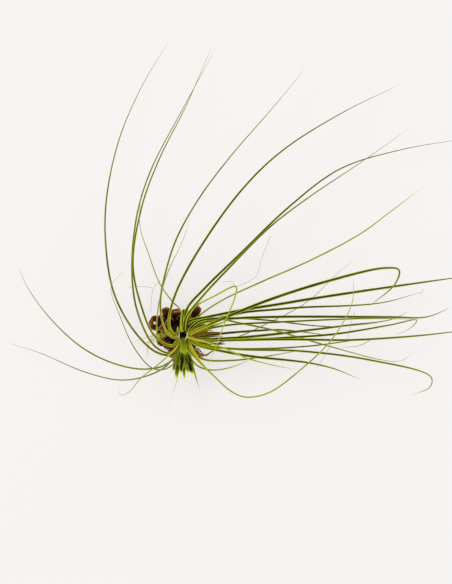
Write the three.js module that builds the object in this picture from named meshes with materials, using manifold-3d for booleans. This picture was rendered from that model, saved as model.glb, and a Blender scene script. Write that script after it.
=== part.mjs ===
// An air plant on an open pine cone: a tuft of long, thin, channelled leaves with a young flower
// stalk, a side shoot and a few dry leaves, seated in the top of the cone that holds it.
// Millimetres, +Z up. The origin is on the cone's flat underside, right below the plant's heart.
import * as THREE from 'three';
import { mergeVertices } from 'three/addons/utils/BufferGeometryUtils.js';
import Module from 'manifold-3d';

const wasm = await Module();
wasm.setup();

// Driving dimensions
const clearance = 0.3;            // left between neighbouring pieces
const coneCentre = [-5, 3];       // the cone's axis, seen from above
const coneHeight = 38;            // flat top of the cone's core
// Heights of the plant are counted from the cone's top
const crownFoot = clearance;
const crownTop = 21;              // rim of the cup that the leaf sheaths form
const crownRadius = 7;
// outside of the crown as [radius, height] pairs, from its foot to the rim
const crownOutside = [
  [5, crownFoot], [6.6, crownFoot + 3], [crownRadius, 6], [crownRadius, 14], [6.7, 18],
  [5.8, crownTop],
];
const heartPlane = 14;            // height at which the leaf routes below are given
const eye = [43, 44, 1636];       // the routes are given as they look from here, straight above
const tierFoot = 6;               // height of the lowest tier of leaf roots
const tierStep = 1.5;
const rootGap = 0.5;              // from the mean outside of the crown to a leaf's middle line
const bladeThickness = 0.75;
const thinBladeThickness = 0.65;
const thinBladeWidth = 1.45;      // blades narrower than this are the thin ones
const tipWidth = 0.65;
const channelDepth = 0.22;        // of a blade's width

// Finishes
const finish = (colour, roughness) =>
  new THREE.MeshStandardMaterial({ color: colour, roughness, metalness: 0 });
const tones = {
  deep: finish('#35451a', 0.55),
  green: finish('#5d7a1e', 0.55),
  olive: finish('#76803a', 0.6),
  fresh: finish('#93ab2c', 0.5),
  bright: finish('#b9cc35', 0.5),
  straw: finish('#b98f52', 0.75),
  rust: finish('#7d4527', 0.75),
  grey: finish('#a9a58e', 0.8),
  pale: finish('#dfe6c4', 0.5),
};
const woodFinish = finish('#5b3320', 0.8);
const resinFinish = finish('#f1efe6', 0.3);

const group = new THREE.Group();
group.name = 'air_plant_on_cone';
const plant = new THREE.Group();
plant.position.z = coneHeight;
group.add(plant);

function addMesh(parent, name, geometry, material) {
  const mesh = new THREE.Mesh(geometry, material);
  mesh.name = name;
  parent.add(mesh);
}

// Repeatable draw between 0 and 1
function makeDraw(seed) {
  let state = seed;
  return () => {
    state = (state * 1664525 + 1013904223) % 4294967296;
    return state / 4294967296;
  };
}

// Joins and cuts
function solidOf(geometry) {
  const bare = geometry.clone();
  bare.deleteAttribute('normal');
  bare.deleteAttribute('uv');
  const merged = mergeVertices(bare, 1e-4);
  return new wasm.Manifold(new wasm.Mesh({
    numProp: 3,
    vertProperties: new Float32Array(merged.attributes.position.array),
    triVerts: new Uint32Array(merged.index.array),
  }));
}

function geometryOf(solid) {
  const mesh = solid.getMesh();
  const geometry = new THREE.BufferGeometry();
  geometry.setAttribute('position', new THREE.BufferAttribute(new Float32Array(mesh.vertProperties), 3));
  geometry.setIndex(new THREE.BufferAttribute(new Uint32Array(mesh.triVerts), 1));
  geometry.computeVertexNormals();
  return geometry;
}

function fuse(geometries) {
  let whole = solidOf(geometries[0]);
  for (const geometry of geometries.slice(1)) {
    whole = whole.add(solidOf(geometry));
  }
  return whole;
}

// Closed solid through rings of points, all with the same count, with flat ends
function loft(rings) {
  const sides = rings[0].length;
  const points = rings.flat();
  const triangles = [];
  for (let ring = 0; ring + 1 < rings.length; ring += 1) {
    for (let side = 0; side < sides; side += 1) {
      const next = (side + 1) % sides;
      const a = ring * sides + side;
      const b = ring * sides + next;
      const c = a + sides;
      const d = b + sides;
      // the lower half takes the other diagonal, so that both faces of a blade split alike
      if (side < sides / 2) {
        triangles.push(a, d, b, a, c, d);
      } else {
        triangles.push(a, c, b, b, c, d);
      }
    }
  }
  const last = (rings.length - 1) * sides;
  for (let side = 1; side + 1 < sides; side += 1) {
    triangles.push(0, side, side + 1);
    triangles.push(last, last + side + 1, last + side);
  }
  const geometry = new THREE.BufferGeometry();
  const flat = points.flatMap((point) => [point.x, point.y, point.z]);
  geometry.setAttribute('position', new THREE.Float32BufferAttribute(flat, 3));
  geometry.setIndex(triangles);
  return geometry;
}

// Rings across a curve. section(share) gives [sideways, up] pairs, from the right edge over the top.
function sweep(curve, steps, section, twist = () => 0) {
  const rings = [];
  const side = new THREE.Vector3();
  const up = new THREE.Vector3();
  const vertical = new THREE.Vector3(0, 0, 1);
  for (let step = 0; step <= steps; step += 1) {
    const share = step / steps;
    const centre = curve.getPointAt(share);
    const ahead = curve.getTangentAt(share);
    side.crossVectors(ahead, vertical).normalize();
    up.crossVectors(side, ahead);
    side.applyAxisAngle(ahead, twist(share));
    up.applyAxisAngle(ahead, twist(share));
    rings.push(section(share).map(([across, above]) =>
      centre.clone().addScaledVector(side, across).addScaledVector(up, above)));
  }
  return loft(rings);
}

// Where a point seen at (x, y) in the heart's plane lies at its real height
function seen(x, y, height) {
  const share = (eye[2] - height) / (eye[2] - heartPlane);
  return new THREE.Vector3(eye[0] + (x - eye[0]) * share, eye[1] + (y - eye[1]) * share, height);
}

// A leaf runs out from its root on the crown, rises and droops with the length it has run.
// Higher tiers climb more steeply, so leaves that cross seen from above pass over each other.
const leafLift = 8;
const liftLength = 12;
const sheathLength = 12;          // over which the sheath narrows to the blade
const sheathFlare = (wide) => 1 + 0.5 * wide;
const stepLength = 22;            // between rings where a leaf runs straight
const stepTurn = 0.4;             // radians
const tierClimb = (tier) => 0.05 + 0.03 * tier;
const tierDroop = (climb) => 0.0004 + 0.0022 * climb;

function crownRadiusAt(height) {
  const above = crownOutside.findIndex(([, level]) => level > height);
  if (above < 1) {
    return above === 0 ? crownOutside[0][0] : crownOutside[crownOutside.length - 1][0];
  }
  const [lowRadius, low] = crownOutside[above - 1];
  const [highRadius, high] = crownOutside[above];
  return THREE.MathUtils.mapLinear(height, low, high, lowRadius, highRadius);
}

function leafCurve({ tier, route, climb = tierClimb(tier), droop = tierDroop(climb), lift = leafLift }) {
  const [firstX, firstY] = route[0];
  const foot = tierFoot + tierStep * tier;
  const rootReach = (crownRadiusAt(foot) + rootGap) / Math.hypot(firstX, firstY);
  const flat = [[firstX * rootReach, firstY * rootReach], ...route];
  let run = 0;
  const points = flat.map(([x, y], index) => {
    if (index > 0) {
      run += Math.hypot(x - flat[index - 1][0], y - flat[index - 1][1]);
    }
    const rise = lift * (1 - Math.exp(-run / liftLength)) + climb * run - droop * run * run;
    return seen(x, y, foot + rise);
  });
  return new THREE.CatmullRomCurve3(points, false, 'centripetal');
}

// Channelled blade: two edges, a keel below and a groove above
function bladeSection(width, thickness, depth) {
  return [[width / 2, depth], [0, thickness / 2], [-width / 2, depth], [0, -thickness / 2]];
}

// How far a curve turns in all, in radians
function turningOf(curve) {
  const samples = 40;
  let turning = 0;
  let before = curve.getTangentAt(0);
  for (let sample = 1; sample <= samples; sample += 1) {
    const ahead = curve.getTangentAt(sample / samples);
    turning += ahead.angleTo(before);
    before = ahead;
  }
  return turning;
}

function leafGeometry(leaf) {
  const curve = leafCurve(leaf);
  const length = curve.getLength();
  const steps = Math.round(3 + length / stepLength + turningOf(curve) / stepTurn);
  const thickness = leaf.wide < thinBladeWidth ? thinBladeThickness : bladeThickness;
  const flare = leaf.flare ?? sheathFlare(leaf.wide);
  const sheathStretch = leaf.sheath ?? sheathLength;
  return sweep(curve, steps, (share) => {
    const body = tipWidth + (leaf.wide - tipWidth) * (1 - share ** leaf.hold);
    const width = body + flare * Math.exp(-share * length / sheathStretch);
    return bladeSection(width, thickness, channelDepth * width);
  });
}

// wide is the width at the root without its sheath. hold is how long a blade keeps it: 1 is an even
// taper, more keeps it wide for longer. flare is what the sheath adds at the root.
const leaves = [
  // swept round to the left, then up and back
  { name: 'leaf_back_1', tone: 'olive', wide: 2, hold: 1.6, tier: 1, climb: 0.1,
    route: [[-5, -14], [-12, -19], [-22, -18], [-33, -12], [-53, 11], [-70, 46], [-77.5, 96], [-76, 141],
      [-64, 196], [-43, 246], [-15, 294]] },
  { name: 'leaf_back_2', tone: 'olive', wide: 1.9, hold: 1.6, tier: 4,
    route: [[-6, -13], [-12, -17], [-20, -15.5], [-31, -7], [-46, 26], [-51, 66], [-46, 121],
      [-32, 166], [-3, 222], [33, 288]] },
  { name: 'leaf_back_3', tone: 'green', wide: 1.9, hold: 1.7, tier: 7,
    route: [[-12, -10], [-29, 1], [-42, 31], [-50, 71], [-42, 126], [-25, 174], [4, 232], [29, 290]] },
  { name: 'leaf_back_4', tone: 'olive', wide: 1.85, hold: 1.6, tier: 9,
    route: [[-10, -1.5], [-16, 4], [-21, 16], [-22.5, 36], [-18, 61], [-7, 96], [15, 136],
      [47, 179], [87, 225], [122, 267]] },
  { name: 'leaf_back_5', tone: 'fresh', wide: 1.4, hold: 1.4, tier: 5.2,
    route: [[-10, -9], [-19, -7.5], [-24.5, -2.5], [-26.3, 4], [-26.2, 12], [-25.2, 24], [-23.5, 36],
      [-15, 64], [0, 96], [7, 118]] },
  { name: 'leaf_back_6', tone: 'fresh', wide: 1.15, hold: 2.2, tier: 5,
    route: [[-2, 25], [-11, 35], [-23, 52], [-34, 81], [-43, 110], [-42, 145]] },
  { name: 'leaf_back_7', tone: 'deep', wide: 2.45, hold: 1.9, flare: 3, tier: 7.5,
    route: [[-9, 1], [-13.5, 8], [-14, 16], [-12.5, 26], [-5, 48], [17, 88], [57, 144], [97, 183.5],
      [157, 222], [217, 251.5]] },
  { name: 'leaf_back_8', tone: 'deep', wide: 2.4, hold: 1.3, tier: 2,
    route: [[4, 27], [22, 48], [57, 82], [107, 130], [157, 167], [217, 186], [287, 198]] },
  { name: 'leaf_back_9', tone: 'green', wide: 2.1, hold: 1.35, flare: 4.2, sheath: 18, tier: 7,
    route: [[3, 18], [19, 39], [47, 69], [87, 109], [127, 139.5], [177, 173], [224, 206]] },
  { name: 'leaf_back_10', tone: 'fresh', wide: 1.4, hold: 6, tier: 1.2,
    route: [[15, 19], [37, 34.5], [77, 53.5], [127, 75.5], [177, 102], [207, 124], [236, 146]] },
  { name: 'leaf_folded', tone: 'bright', wide: 1.7, hold: 4, tier: 5, climb: 0.33,
    route: [[10, 27], [32, 40.2], [53, 49.5], [52, 39], [45, 21], [39, 6], [31, -16], [25, -30]] },
  { name: 'leaf_heart', tone: 'bright', wide: 1.45, hold: 3, flare: 3.4, sheath: 5, tier: 8.6, climb: 0.5,
    route: [[-2, 8], [-2, 18], [0, 28]] },
  // the bundle that runs out to the right
  { name: 'leaf_right_1', tone: 'deep', wide: 2.75, hold: 4.5, tier: 9,
    route: [[14, 6], [47, 20.5], [87, 36.5], [147, 55.5], [202, 68], [216, 66], [212, 52], [185, 29]] },
  { name: 'leaf_right_2', tone: 'deep', wide: 2.55, hold: 4.8, tier: 3.4,
    route: [[2.5, 11.5], [10, 16.2], [22, 18.5], [32, 20.6], [47, 23.6], [67, 27.3], [97, 32], [127, 37],
      [207, 49], [292, 61]] },
  { name: 'leaf_right_3', tone: 'green', wide: 1.8, hold: 3, tier: 0,
    route: [[5, 12], [12, 15], [22, 16.4], [32, 17.4], [47, 20.4], [57, 22.8], [67, 24.4], [92, 26.5],
      [117, 28.5], [197, 33], [239, 44]] },
  { name: 'leaf_right_4', tone: 'deep', wide: 2.3, hold: 6, tier: 6,
    route: [[17, 15], [52, 17.7], [97, 19.2], [207, 19], [243, 19], [267, 28]] },
  { name: 'leaf_right_5', tone: 'green', wide: 1.8, hold: 3, tier: 7,
    route: [[17, 5], [42, 10.5], [97, 14], [187, 17.5], [235, 16.5]] },
  { name: 'leaf_right_6', tone: 'green', wide: 1.6, hold: 2.5, tier: 3,
    route: [[17, 12], [52, 17.5], [82, 16], [145, 9.5], [194, 12.5]] },
  { name: 'leaf_right_7', tone: 'deep', wide: 1.9, hold: 2, tier: 2,
    route: [[17, 0], [47, 3.3], [77, 5.5], [97, 6.2], [152, 0]] },
  { name: 'leaf_right_8', tone: 'green', wide: 2.45, hold: 3, tier: 4,
    route: [[17, -3], [40, -2.5], [67, -0.7], [127, 6], [167, 11], [208, 16.5], [226, 25]] },
  { name: 'leaf_right_9', tone: 'green', wide: 1.8, hold: 4, tier: 6.2,
    route: [[17, -4.6], [47, -4], [77, -3], [107, -1.4], [152, 2], [207, 11], [234, 16], [226, 7],
      [212, 1]] },
  { name: 'leaf_right_10', tone: 'green', wide: 1.7, hold: 6, tier: 8.4,
    route: [[17, -4.8], [47, -4.3], [67, -3.9], [92, -3.4], [127, -3.6], [167, -4], [237, 0.5],
      [292, 7]] },
  { name: 'leaf_right_11', tone: 'green', wide: 1.7, hold: 2.4, tier: 3,
    route: [[17, -8], [42, -12], [82, -12.6], [127, -10], [187, -3.5], [175, -10], [157, -11]] },
  { name: 'leaf_right_12', tone: 'fresh', wide: 1.7, hold: 2.2, tier: 4.6,
    route: [[17, 12], [32, 16.4], [42, 16.2], [52, 14], [67, 10.9], [92, 5.5], [142, -9], [197, -23.5],
      [217, -25], [232, -16]] },
  { name: 'leaf_right_13', tone: 'green', wide: 1.85, hold: 7, tier: 5.2,
    route: [[19, -9], [57, -13.3], [117, -15], [187, -24], [248, -41], [247, -51], [229, -59]] },
  { name: 'leaf_right_14', tone: 'green', wide: 2.4, hold: 3.5, tier: 7.2,
    route: [[17, -10], [37, -14.7], [67, -20.1], [107, -24.4], [127, -27], [152, -33], [177, -43.5]] },
  { name: 'leaf_right_15', tone: 'bright', wide: 1.5, hold: 4, tier: 9.6,
    route: [[15, -4], [37, -10.6], [57, -19.2], [63, -22], [87, -28.5], [115, -34]] },
  { name: 'leaf_right_16', tone: 'olive', wide: 1.9, hold: 2, tier: 2.4,
    route: [[7, -13], [20, -23], [47, -24.5], [82, -20.5], [122, -13.5]] },
  { name: 'leaf_right_17', tone: 'fresh', wide: 1.5, hold: 3, tier: 1.2,
    route: [[6, -19], [15, -30], [29, -34], [49, -31], [69, -23]] },
  { name: 'leaf_right_18', tone: 'fresh', wide: 1.7, hold: 6, flare: 5.5, tier: 4.2, climb: 0.37,
    droop: 0.0008,
    route: [[5, -10], [17, -26], [32, -41], [47, -54.5], [62, -61], [85, -57], [116, -35],
      [149, -3], [169, 33], [170.5, 60]] },
  { name: 'leaf_right_19', tone: 'olive', wide: 1, hold: 1.5, tier: -0.6, climb: 0,
    route: [[22, -9], [57, 0], [79, 10], [124, 34], [157, 65], [170, 75]] },
  // low and to the left
  { name: 'leaf_left_1', tone: 'olive', wide: 1.5, hold: 2.6, tier: 6,
    route: [[-4, -15], [-9, -22], [-15, -27], [-23, -31], [-43, -33], [-73, -26], [-103, -10],
      [-133, 18], [-155, 48], [-165, 70]] },
  { name: 'leaf_left_2', tone: 'olive', wide: 1.3, hold: 2, tier: 3,
    route: [[-8, -19], [-18, -31], [-38, -40.5], [-63, -44], [-98, -36], [-143, -17], [-174, -7]] },
  { name: 'leaf_left_3', tone: 'olive', wide: 1.3, hold: 1.5, tier: 7.3,
    route: [[-3, -17], [-7, -24], [-12, -30], [-20, -33.5], [-31, -32], [-48, -13], [-63, 20],
      [-72, 50], [-60, 64]] },
  { name: 'leaf_left_4', tone: 'fresh', wide: 1.35, hold: 1.5, tier: 8.6,
    route: [[-6, -11], [-23, -27], [-43, -43], [-54, -56], [-62, -59], [-65.5, -49]] },
  { name: 'leaf_front_1', tone: 'fresh', wide: 2.2, hold: 2, flare: 0.8, tier: -0.4, climb: 0,
    route: [[9, -26], [13, -42], [17, -54]] },
  { name: 'leaf_front_2', tone: 'pale', wide: 1.4, hold: 1, flare: 1, tier: 5,
    route: [[-3, -20], [-6, -44], [-12, -62], [-16, -75]] },
];
for (const leaf of leaves) {
  addMesh(plant, leaf.name, leafGeometry(leaf), tones[leaf.tone]);
}

// Dry leaves left at the foot of the tuft, below the living ones
const dryLeaves = [
  { name: 'dry_leaf_1', tone: 'rust', wide: 4.2, hold: 4, tier: -0.8, route: [[14, 3], [27, 8]] },
  { name: 'dry_leaf_2', tone: 'rust', wide: 3.4, hold: 4, tier: -2, route: [[14, -4], [28, -7], [43, -8]] },
  { name: 'dry_leaf_3', tone: 'straw', wide: 2.6, hold: 4, tier: -1,
    route: [[10, -12], [21, -19], [31, -14]] },
  { name: 'dry_leaf_4', tone: 'straw', wide: 4, hold: 4, tier: -1.2,
    route: [[-5, -12], [-9, -22], [-9, -29]] },
];
for (const leaf of dryLeaves) {
  addMesh(plant, leaf.name, leafGeometry({ ...leaf, climb: 0.1, lift: 3, flare: 1 }), tones[leaf.tone]);
}

// Flower stalk: leans out of the heart to the front and splits into flat, pointed spikes of
// overlapping keeled bracts
const stalkCurve = new THREE.CatmullRomCurve3([
  new THREE.Vector3(0, -1.5, 9.3), new THREE.Vector3(0, -2.2, 16), new THREE.Vector3(0.3, -6, 24),
  new THREE.Vector3(1, -13, 29.5), new THREE.Vector3(1.5, -22, 32.5),
]);
const stalkSides = 8;
const stalkRadius = (share) => 1.7 + 1.9 * Math.sin(Math.PI * Math.min(1, share * 0.75));

function stalkGeometry(extra) {
  return sweep(stalkCurve, 7, (share) => {
    const radius = stalkRadius(share) + extra;
    return Array.from({ length: stalkSides }, (_, side) => {
      const angle = (side / stalkSides) * 2 * Math.PI;
      return [radius * Math.cos(angle), 0.85 * radius * Math.sin(angle)];
    });
  });
}

// One bract: a small keeled blade that widens, then closes to a point
function bractGeometry(from, to, width, roll) {
  const curve = new THREE.LineCurve3(from, to);
  const outline = [0.5, 1, 0.85, 0.12];
  return sweep(curve, outline.length - 1, (share) => {
    const wide = Math.max(width * outline[Math.round(share * (outline.length - 1))], 0.8);
    return bladeSection(wide, 1.5, -0.14 * wide);
  }, () => roll);
}

function spikeGeometries({ root, tip, width, roll }) {
  const start = new THREE.Vector3(...root);
  const end = new THREE.Vector3(...tip);
  const along = new THREE.Vector3().subVectors(end, start);
  const sideways = new THREE.Vector3(-along.y, along.x, 0).normalize();
  const bracts = [bractGeometry(start, end, width, roll)];
  const pairs = 2;
  for (let pair = 0; pair < pairs; pair += 1) {
    for (const hand of [-1, 1]) {
      const from = start.clone().addScaledVector(along, 0.05 + 0.28 * pair + (hand > 0 ? 0.12 : 0));
      const to = from.clone().addScaledVector(along, 0.5 - 0.06 * pair);
      from.addScaledVector(sideways, hand * width * 0.06);
      to.addScaledVector(sideways, hand * width * (0.42 - 0.12 * pair));
      bracts.push(bractGeometry(from, to, width * 0.75, roll + hand * 0.3));
    }
  }
  return bracts;
}

const spikes = [
  { root: [-1, -14, 29.5], tip: [-11, -35, 34], width: 4.4, roll: 0.3 },
  { root: [0, -12, 30], tip: [-7, -44, 39], width: 5, roll: -0.2 },
  { root: [0.6, -12, 31], tip: [-1.5, -36, 44], width: 4.5, roll: 0.1 },
  { root: [1.4, -14, 30], tip: [2, -43, 36], width: 4.6, roll: -0.3 },
  { root: [1.8, -12, 31], tip: [6.5, -39, 41], width: 4.4, roll: 0.25 },
  { root: [2.4, -14, 29.5], tip: [10.5, -40, 34], width: 4.8, roll: -0.15 },
];
const stalkPieces = [stalkGeometry(0), ...spikes.flatMap(spikeGeometries)];
addMesh(plant, 'flower_stalk', geometryOf(fuse(stalkPieces)), tones.green);

// Two narrow pale young leaves that stand on the front rim of the heart and lean back over it
const youngLeaves = [
  { name: 'young_leaf_left', points: [[-3.8, -4, 18.8], [-3.8, -3.1, 22.2], [-3.5, 0, 26], [-3.4, 5, 28]] },
  { name: 'young_leaf_right', points: [[4.2, -3.7, 18], [4.2, -2.7, 22], [4.6, 0.5, 26], [6.2, 6, 28]] },
];

function youngGeometry({ points }, extra) {
  const curve = new THREE.CatmullRomCurve3(
    points.map((point) => new THREE.Vector3(...point)), false, 'centripetal');
  return sweep(curve, 6, (share) => bladeSection(1.4 - 0.5 * share + 2 * extra, 0.7 + 2 * extra, 0.1));
}

for (const young of youngLeaves) {
  addMesh(plant, young.name, youngGeometry(young, 0), tones.pale);
}

// Crown: the cup of overlapping leaf sheaths, on the short stem that sits in the cone
const crownSides = 20;
const crownProfile = [
  [0, crownFoot], ...crownOutside, [4.8, crownTop - 0.3], [4.2, 17], [3.8, 9], [0, 9],
];
const crownLathe = new THREE.LatheGeometry(
  crownProfile.map(([radius, height]) => new THREE.Vector2(radius, height)), crownSides);
crownLathe.rotateX(Math.PI / 2);
const crownPoints = crownLathe.attributes.position;
for (let index = 0; index < crownPoints.count; index += 1) {
  const x = crownPoints.getX(index);
  const y = crownPoints.getY(index);
  const height = crownPoints.getZ(index);
  const fold = 1 - 0.035 * (1 + Math.cos(5 * Math.atan2(y, x) + height * 0.35));
  const lower = height > 16 ? 1.2 * (1 + Math.cos(3 * Math.atan2(y, x) + 1)) : 0;
  crownPoints.setXYZ(index, x * fold, y * fold, height - lower);
}
let crown = solidOf(crownLathe).subtract(solidOf(stalkGeometry(clearance)));
for (const young of youngLeaves) {
  crown = crown.subtract(solidOf(youngGeometry(young, 2 * clearance).translate(0, 0, -clearance)));
}
addMesh(plant, 'crown', geometryOf(crown), tones.green);

// Side shoot: a tuft of short curling leaves low on the left
const shootFoot = [-9.1, -2.4, 5.5];
const shootRoutes = [
  [[-13, 1.5, 7], [-19, 3, 9], [-24, 7, 11], [-22, 11, 12]],
  [[-13, 1.5, 7], [-20, 0.5, 9], [-25, -1, 12], [-27, 4, 12], [-23.5, 7, 10]],
  [[-13, 1, 7], [-21, -1, 8.5], [-28, -6, 11], [-31.5, -3, 12], [-29, 4, 11]],
  [[-13, 1.5, 7], [-22, 2, 8.5], [-34, 1, 8]],
  [[-13, 1, 7], [-22, 1, 8], [-33, -0.5, 10], [-52, -7, 6]],
  [[-13, 1, 7], [-21, -0.5, 7.5], [-30, -2, 8], [-35, -6, 6], [-37, -17, 0]],
  [[-13, 1, 7], [-20, -1.5, 7.5], [-28, -4, 6], [-43, -9, 0]],
];
const shootPieces = [new THREE.SphereGeometry(2.2, 8, 6)
  .scale(1, 1, 1.3).translate(...shootFoot)];
for (const route of shootRoutes) {
  const points = [shootFoot, ...route].map((point) => new THREE.Vector3(...point));
  const curve = new THREE.CatmullRomCurve3(points, false, 'centripetal');
  shootPieces.push(sweep(curve, 9, (share) => bladeSection(1.7 - 0.9 * share, 0.65, 0.15)));
}
addMesh(plant, 'side_shoot', geometryOf(fuse(shootPieces)), tones.bright);

// Pine cone: a core with thick-tipped scales. The lower ones follow the golden angle, the
// uppermost are the ones that spread round the plant.
const goldenAngle = Math.PI * (3 - Math.sqrt(5));
const coreSides = 14;
const coreProfile = [[0, 0], [9, 0], [10, 8], [9.5, 22], [8.5, 36], [9, coneHeight], [0, coneHeight]];
const core = new THREE.LatheGeometry(
  coreProfile.map(([radius, height]) => new THREE.Vector2(radius, height)), coreSides);
core.rotateX(Math.PI / 2);
core.translate(coneCentre[0], coneCentre[1], 0);

// share of length, width and thickness as shares of the scale's width, and cupping
const scaleOutline = [
  [0, 0.5, 0.24, 0], [0.35, 0.72, 0.2, 0.06], [0.68, 1, 0.22, 0.1], [0.86, 0.98, 0.34, 0.06],
  [0.96, 0.78, 0.42, 0], [1, 0.42, 0.3, 0],
];
const scaleRootReach = 6;

// Middle line of a scale and the two directions across it
function scaleFrame({ turn, rootHeight, reach, tipHeight }, share) {
  const out = (distance, height) => new THREE.Vector3(
    coneCentre[0] + distance * Math.cos(turn), coneCentre[1] + distance * Math.sin(turn), height);
  const curve = new THREE.QuadraticBezierCurve3(
    out(scaleRootReach, rootHeight),
    out(scaleRootReach + 0.6 * (reach - scaleRootReach), rootHeight + 0.42 * (tipHeight - rootHeight)),
    out(reach, tipHeight));
  const ahead = curve.getTangent(share);
  const side = new THREE.Vector3().crossVectors(ahead, new THREE.Vector3(0, 0, 1)).normalize();
  return { centre: curve.getPoint(share), side, up: new THREE.Vector3().crossVectors(side, ahead) };
}

function scaleGeometry(scale) {
  const rings = scaleOutline.map(([share, wide, thick, cup]) => {
    const { centre, side, up } = scaleFrame(scale, share);
    const half = (wide * scale.width) / 2;
    const depth = (thick * scale.width) / 2;
    const raised = cup * scale.width;
    return [
      [half, raised], [half * 0.55, depth], [-half * 0.55, depth],
      [-half, raised], [-half * 0.55, -depth], [half * 0.55, -depth],
    ].map(([across, above]) => centre.clone().addScaledVector(side, across).addScaledVector(up, above));
  });
  return loft(rings);
}

const degrees = Math.PI / 180;
const draw = makeDraw(41);
const coneScales = [];
// direction in degrees and reach of the low scales that the cone stands on
const footScales = [[148, 27], [100, 24], [52, 29], [8, 28], [322, 23], [285, 24], [254, 25], [207, 20]];
for (const [direction, reach] of footScales) {
  coneScales.push({ turn: direction * degrees, rootHeight: 5, reach, tipHeight: 1.8, width: 11 });
}
const ruledScales = 32;
for (let index = 0; index < ruledScales; index += 1) {
  const level = index / (ruledScales - 1);
  const rootHeight = 5 + 27 * level;
  coneScales.push({
    turn: index * goldenAngle + 0.3, rootHeight, tipHeight: rootHeight + 5 + 3.5 * level + draw(),
    reach: 25 - 9 * level + 1.5 * draw(), width: 11 - 2 * level,
  });
}
// direction in degrees, reach, tip height and width of the scales that spread out from under the
// plant
const wideScales = [
  [158, 32, 30, 15], [120.5, 29.5, 32, 9], [96, 22.5, 36, 11], [52, 34, 29, 10], [9, 31, 27, 9],
  [212, 17.5, 45, 7.5], [233, 21, 35, 9], [254, 27, 31, 10], [330, 24, 31, 10],
];
for (const [direction, reach, tipHeight, width] of wideScales) {
  coneScales.push({
    turn: direction * degrees, rootHeight: tipHeight - 10, reach, tipHeight, width,
  });
}
const leftScale = coneScales[footScales.length + ruledScales];
const tallBlock = new THREE.BoxGeometry(200, 200, 100).translate(0, 0, 50);
const cone = fuse([core, ...coneScales.map(scaleGeometry)]).intersect(solidOf(tallBlock));
addMesh(group, 'pine_cone', geometryOf(cone), woodFinish);

// A bead of dried resin on the face of the scale at the left
const beadRadius = 1.4;
const beadFlatness = 0.7;
const beadSeat = scaleFrame(leftScale, 0.8);
const beadLift = 0.16 * leftScale.width + beadFlatness * beadRadius + clearance;
beadSeat.centre.addScaledVector(beadSeat.up, beadLift);
const bead = new THREE.IcosahedronGeometry(beadRadius, 1).scale(1, 1, beadFlatness);
bead.translate(beadSeat.centre.x, beadSeat.centre.y, beadSeat.centre.z);
addMesh(group, 'resin_bead', geometryOf(solidOf(bead)), resinFinish);

export default group;
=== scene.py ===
"""An air plant seated in an open pine cone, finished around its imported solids.

Metres, +Z up. Sizes are written in millimetres and turned to metres by MM. The plant's own heights
are counted from the top of the cone, and its leaf routes are given as they look from straight above
in the plane of the plant's heart.
"""

import logging
import math
from collections.abc import Callable, Iterator, Sequence
from contextlib import contextmanager
from dataclasses import dataclass, field
from enum import Enum

import bmesh
import bpy
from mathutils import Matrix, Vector


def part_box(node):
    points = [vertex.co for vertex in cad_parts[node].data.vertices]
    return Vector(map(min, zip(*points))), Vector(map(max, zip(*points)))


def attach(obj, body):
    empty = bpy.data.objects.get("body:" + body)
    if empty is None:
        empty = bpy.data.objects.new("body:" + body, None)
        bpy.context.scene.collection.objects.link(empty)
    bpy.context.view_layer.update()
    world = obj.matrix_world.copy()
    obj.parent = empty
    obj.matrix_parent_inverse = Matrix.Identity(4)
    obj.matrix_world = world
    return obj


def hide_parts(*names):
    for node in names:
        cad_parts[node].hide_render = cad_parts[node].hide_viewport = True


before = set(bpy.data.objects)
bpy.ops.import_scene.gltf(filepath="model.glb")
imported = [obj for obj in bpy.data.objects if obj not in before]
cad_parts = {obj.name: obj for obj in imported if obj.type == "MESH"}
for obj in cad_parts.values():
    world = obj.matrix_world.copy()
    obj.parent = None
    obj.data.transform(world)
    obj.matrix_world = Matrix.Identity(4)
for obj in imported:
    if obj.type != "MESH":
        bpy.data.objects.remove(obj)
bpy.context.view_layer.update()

log = logging.getLogger("air_plant")

MM = 0.001
BODY = "root"
BLACK = (0.0, 0.0, 0.0, 1.0)
# in millimetres: the cone's top above the floor, then the heart's plane and the eye above that top
CONE_TOP = 38.0
HEART_PLANE = 14.0
EYE = Vector((43.0, 44.0, 1636.0))

Flat = tuple[float, float]
Point = tuple[float, float, float]
Row = tuple[float, float, float, float]
Rule = Callable[[float], float]
Piece = bpy.types.Object
Socket = bpy.types.NodeSocket


class Slot(Enum):
    """Material slots of the record that the pieces take their finishes from."""

    DEEP = "leaf_deep"
    GREEN = "leaf_green"
    OLIVE = "leaf_olive"
    FRESH = "leaf_fresh"
    BRIGHT = "leaf_bright"
    STRAW = "leaf_straw"
    RUST = "leaf_rust"
    GREY = "leaf_grey"
    PALE = "leaf_pale"
    CROWN = "crown"
    BRACTS = "bracts"
    WOOD = "cone_wood"
    RESIN = "resin"


@dataclass
class Made:
    """A finished mesh, the slot that its finish comes from and the solids that it stands for."""

    piece: Piece
    slot: Slot
    nodes: tuple[str, ...] = ()


class Draw:
    """A repeatable draw of numbers between 0 and 1, the same one that places the solids' scales."""

    states: int = 4294967296

    def __init__(self, seed: int) -> None:
        """Starts the draw from a seed."""
        self.state = seed

    def next(self) -> float:
        """Returns the next number."""
        self.state = (self.state * 1664525 + 1013904223) % self.states
        return self.state / self.states

    def between(self, low: float, high: float) -> float:
        """Returns the next number, spread from low to high."""
        return low + (high - low) * self.next()


# Routes


def seen(x: float, y: float, height: float) -> Vector:
    """Places a point at a height, so that it is seen at (x, y) in the heart's plane."""
    share = (EYE.z - height) / (EYE.z - HEART_PLANE)
    return Vector((EYE.x + (x - EYE.x) * share, EYE.y + (y - EYE.y) * share, height))


def on_cone(points: Sequence[Vector]) -> list[Vector]:
    """Turns plant points in millimetres into places in metres, on top of the cone."""
    return [Vector((x * MM, y * MM, (CONE_TOP + z) * MM)) for x, y, z in points]


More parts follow.
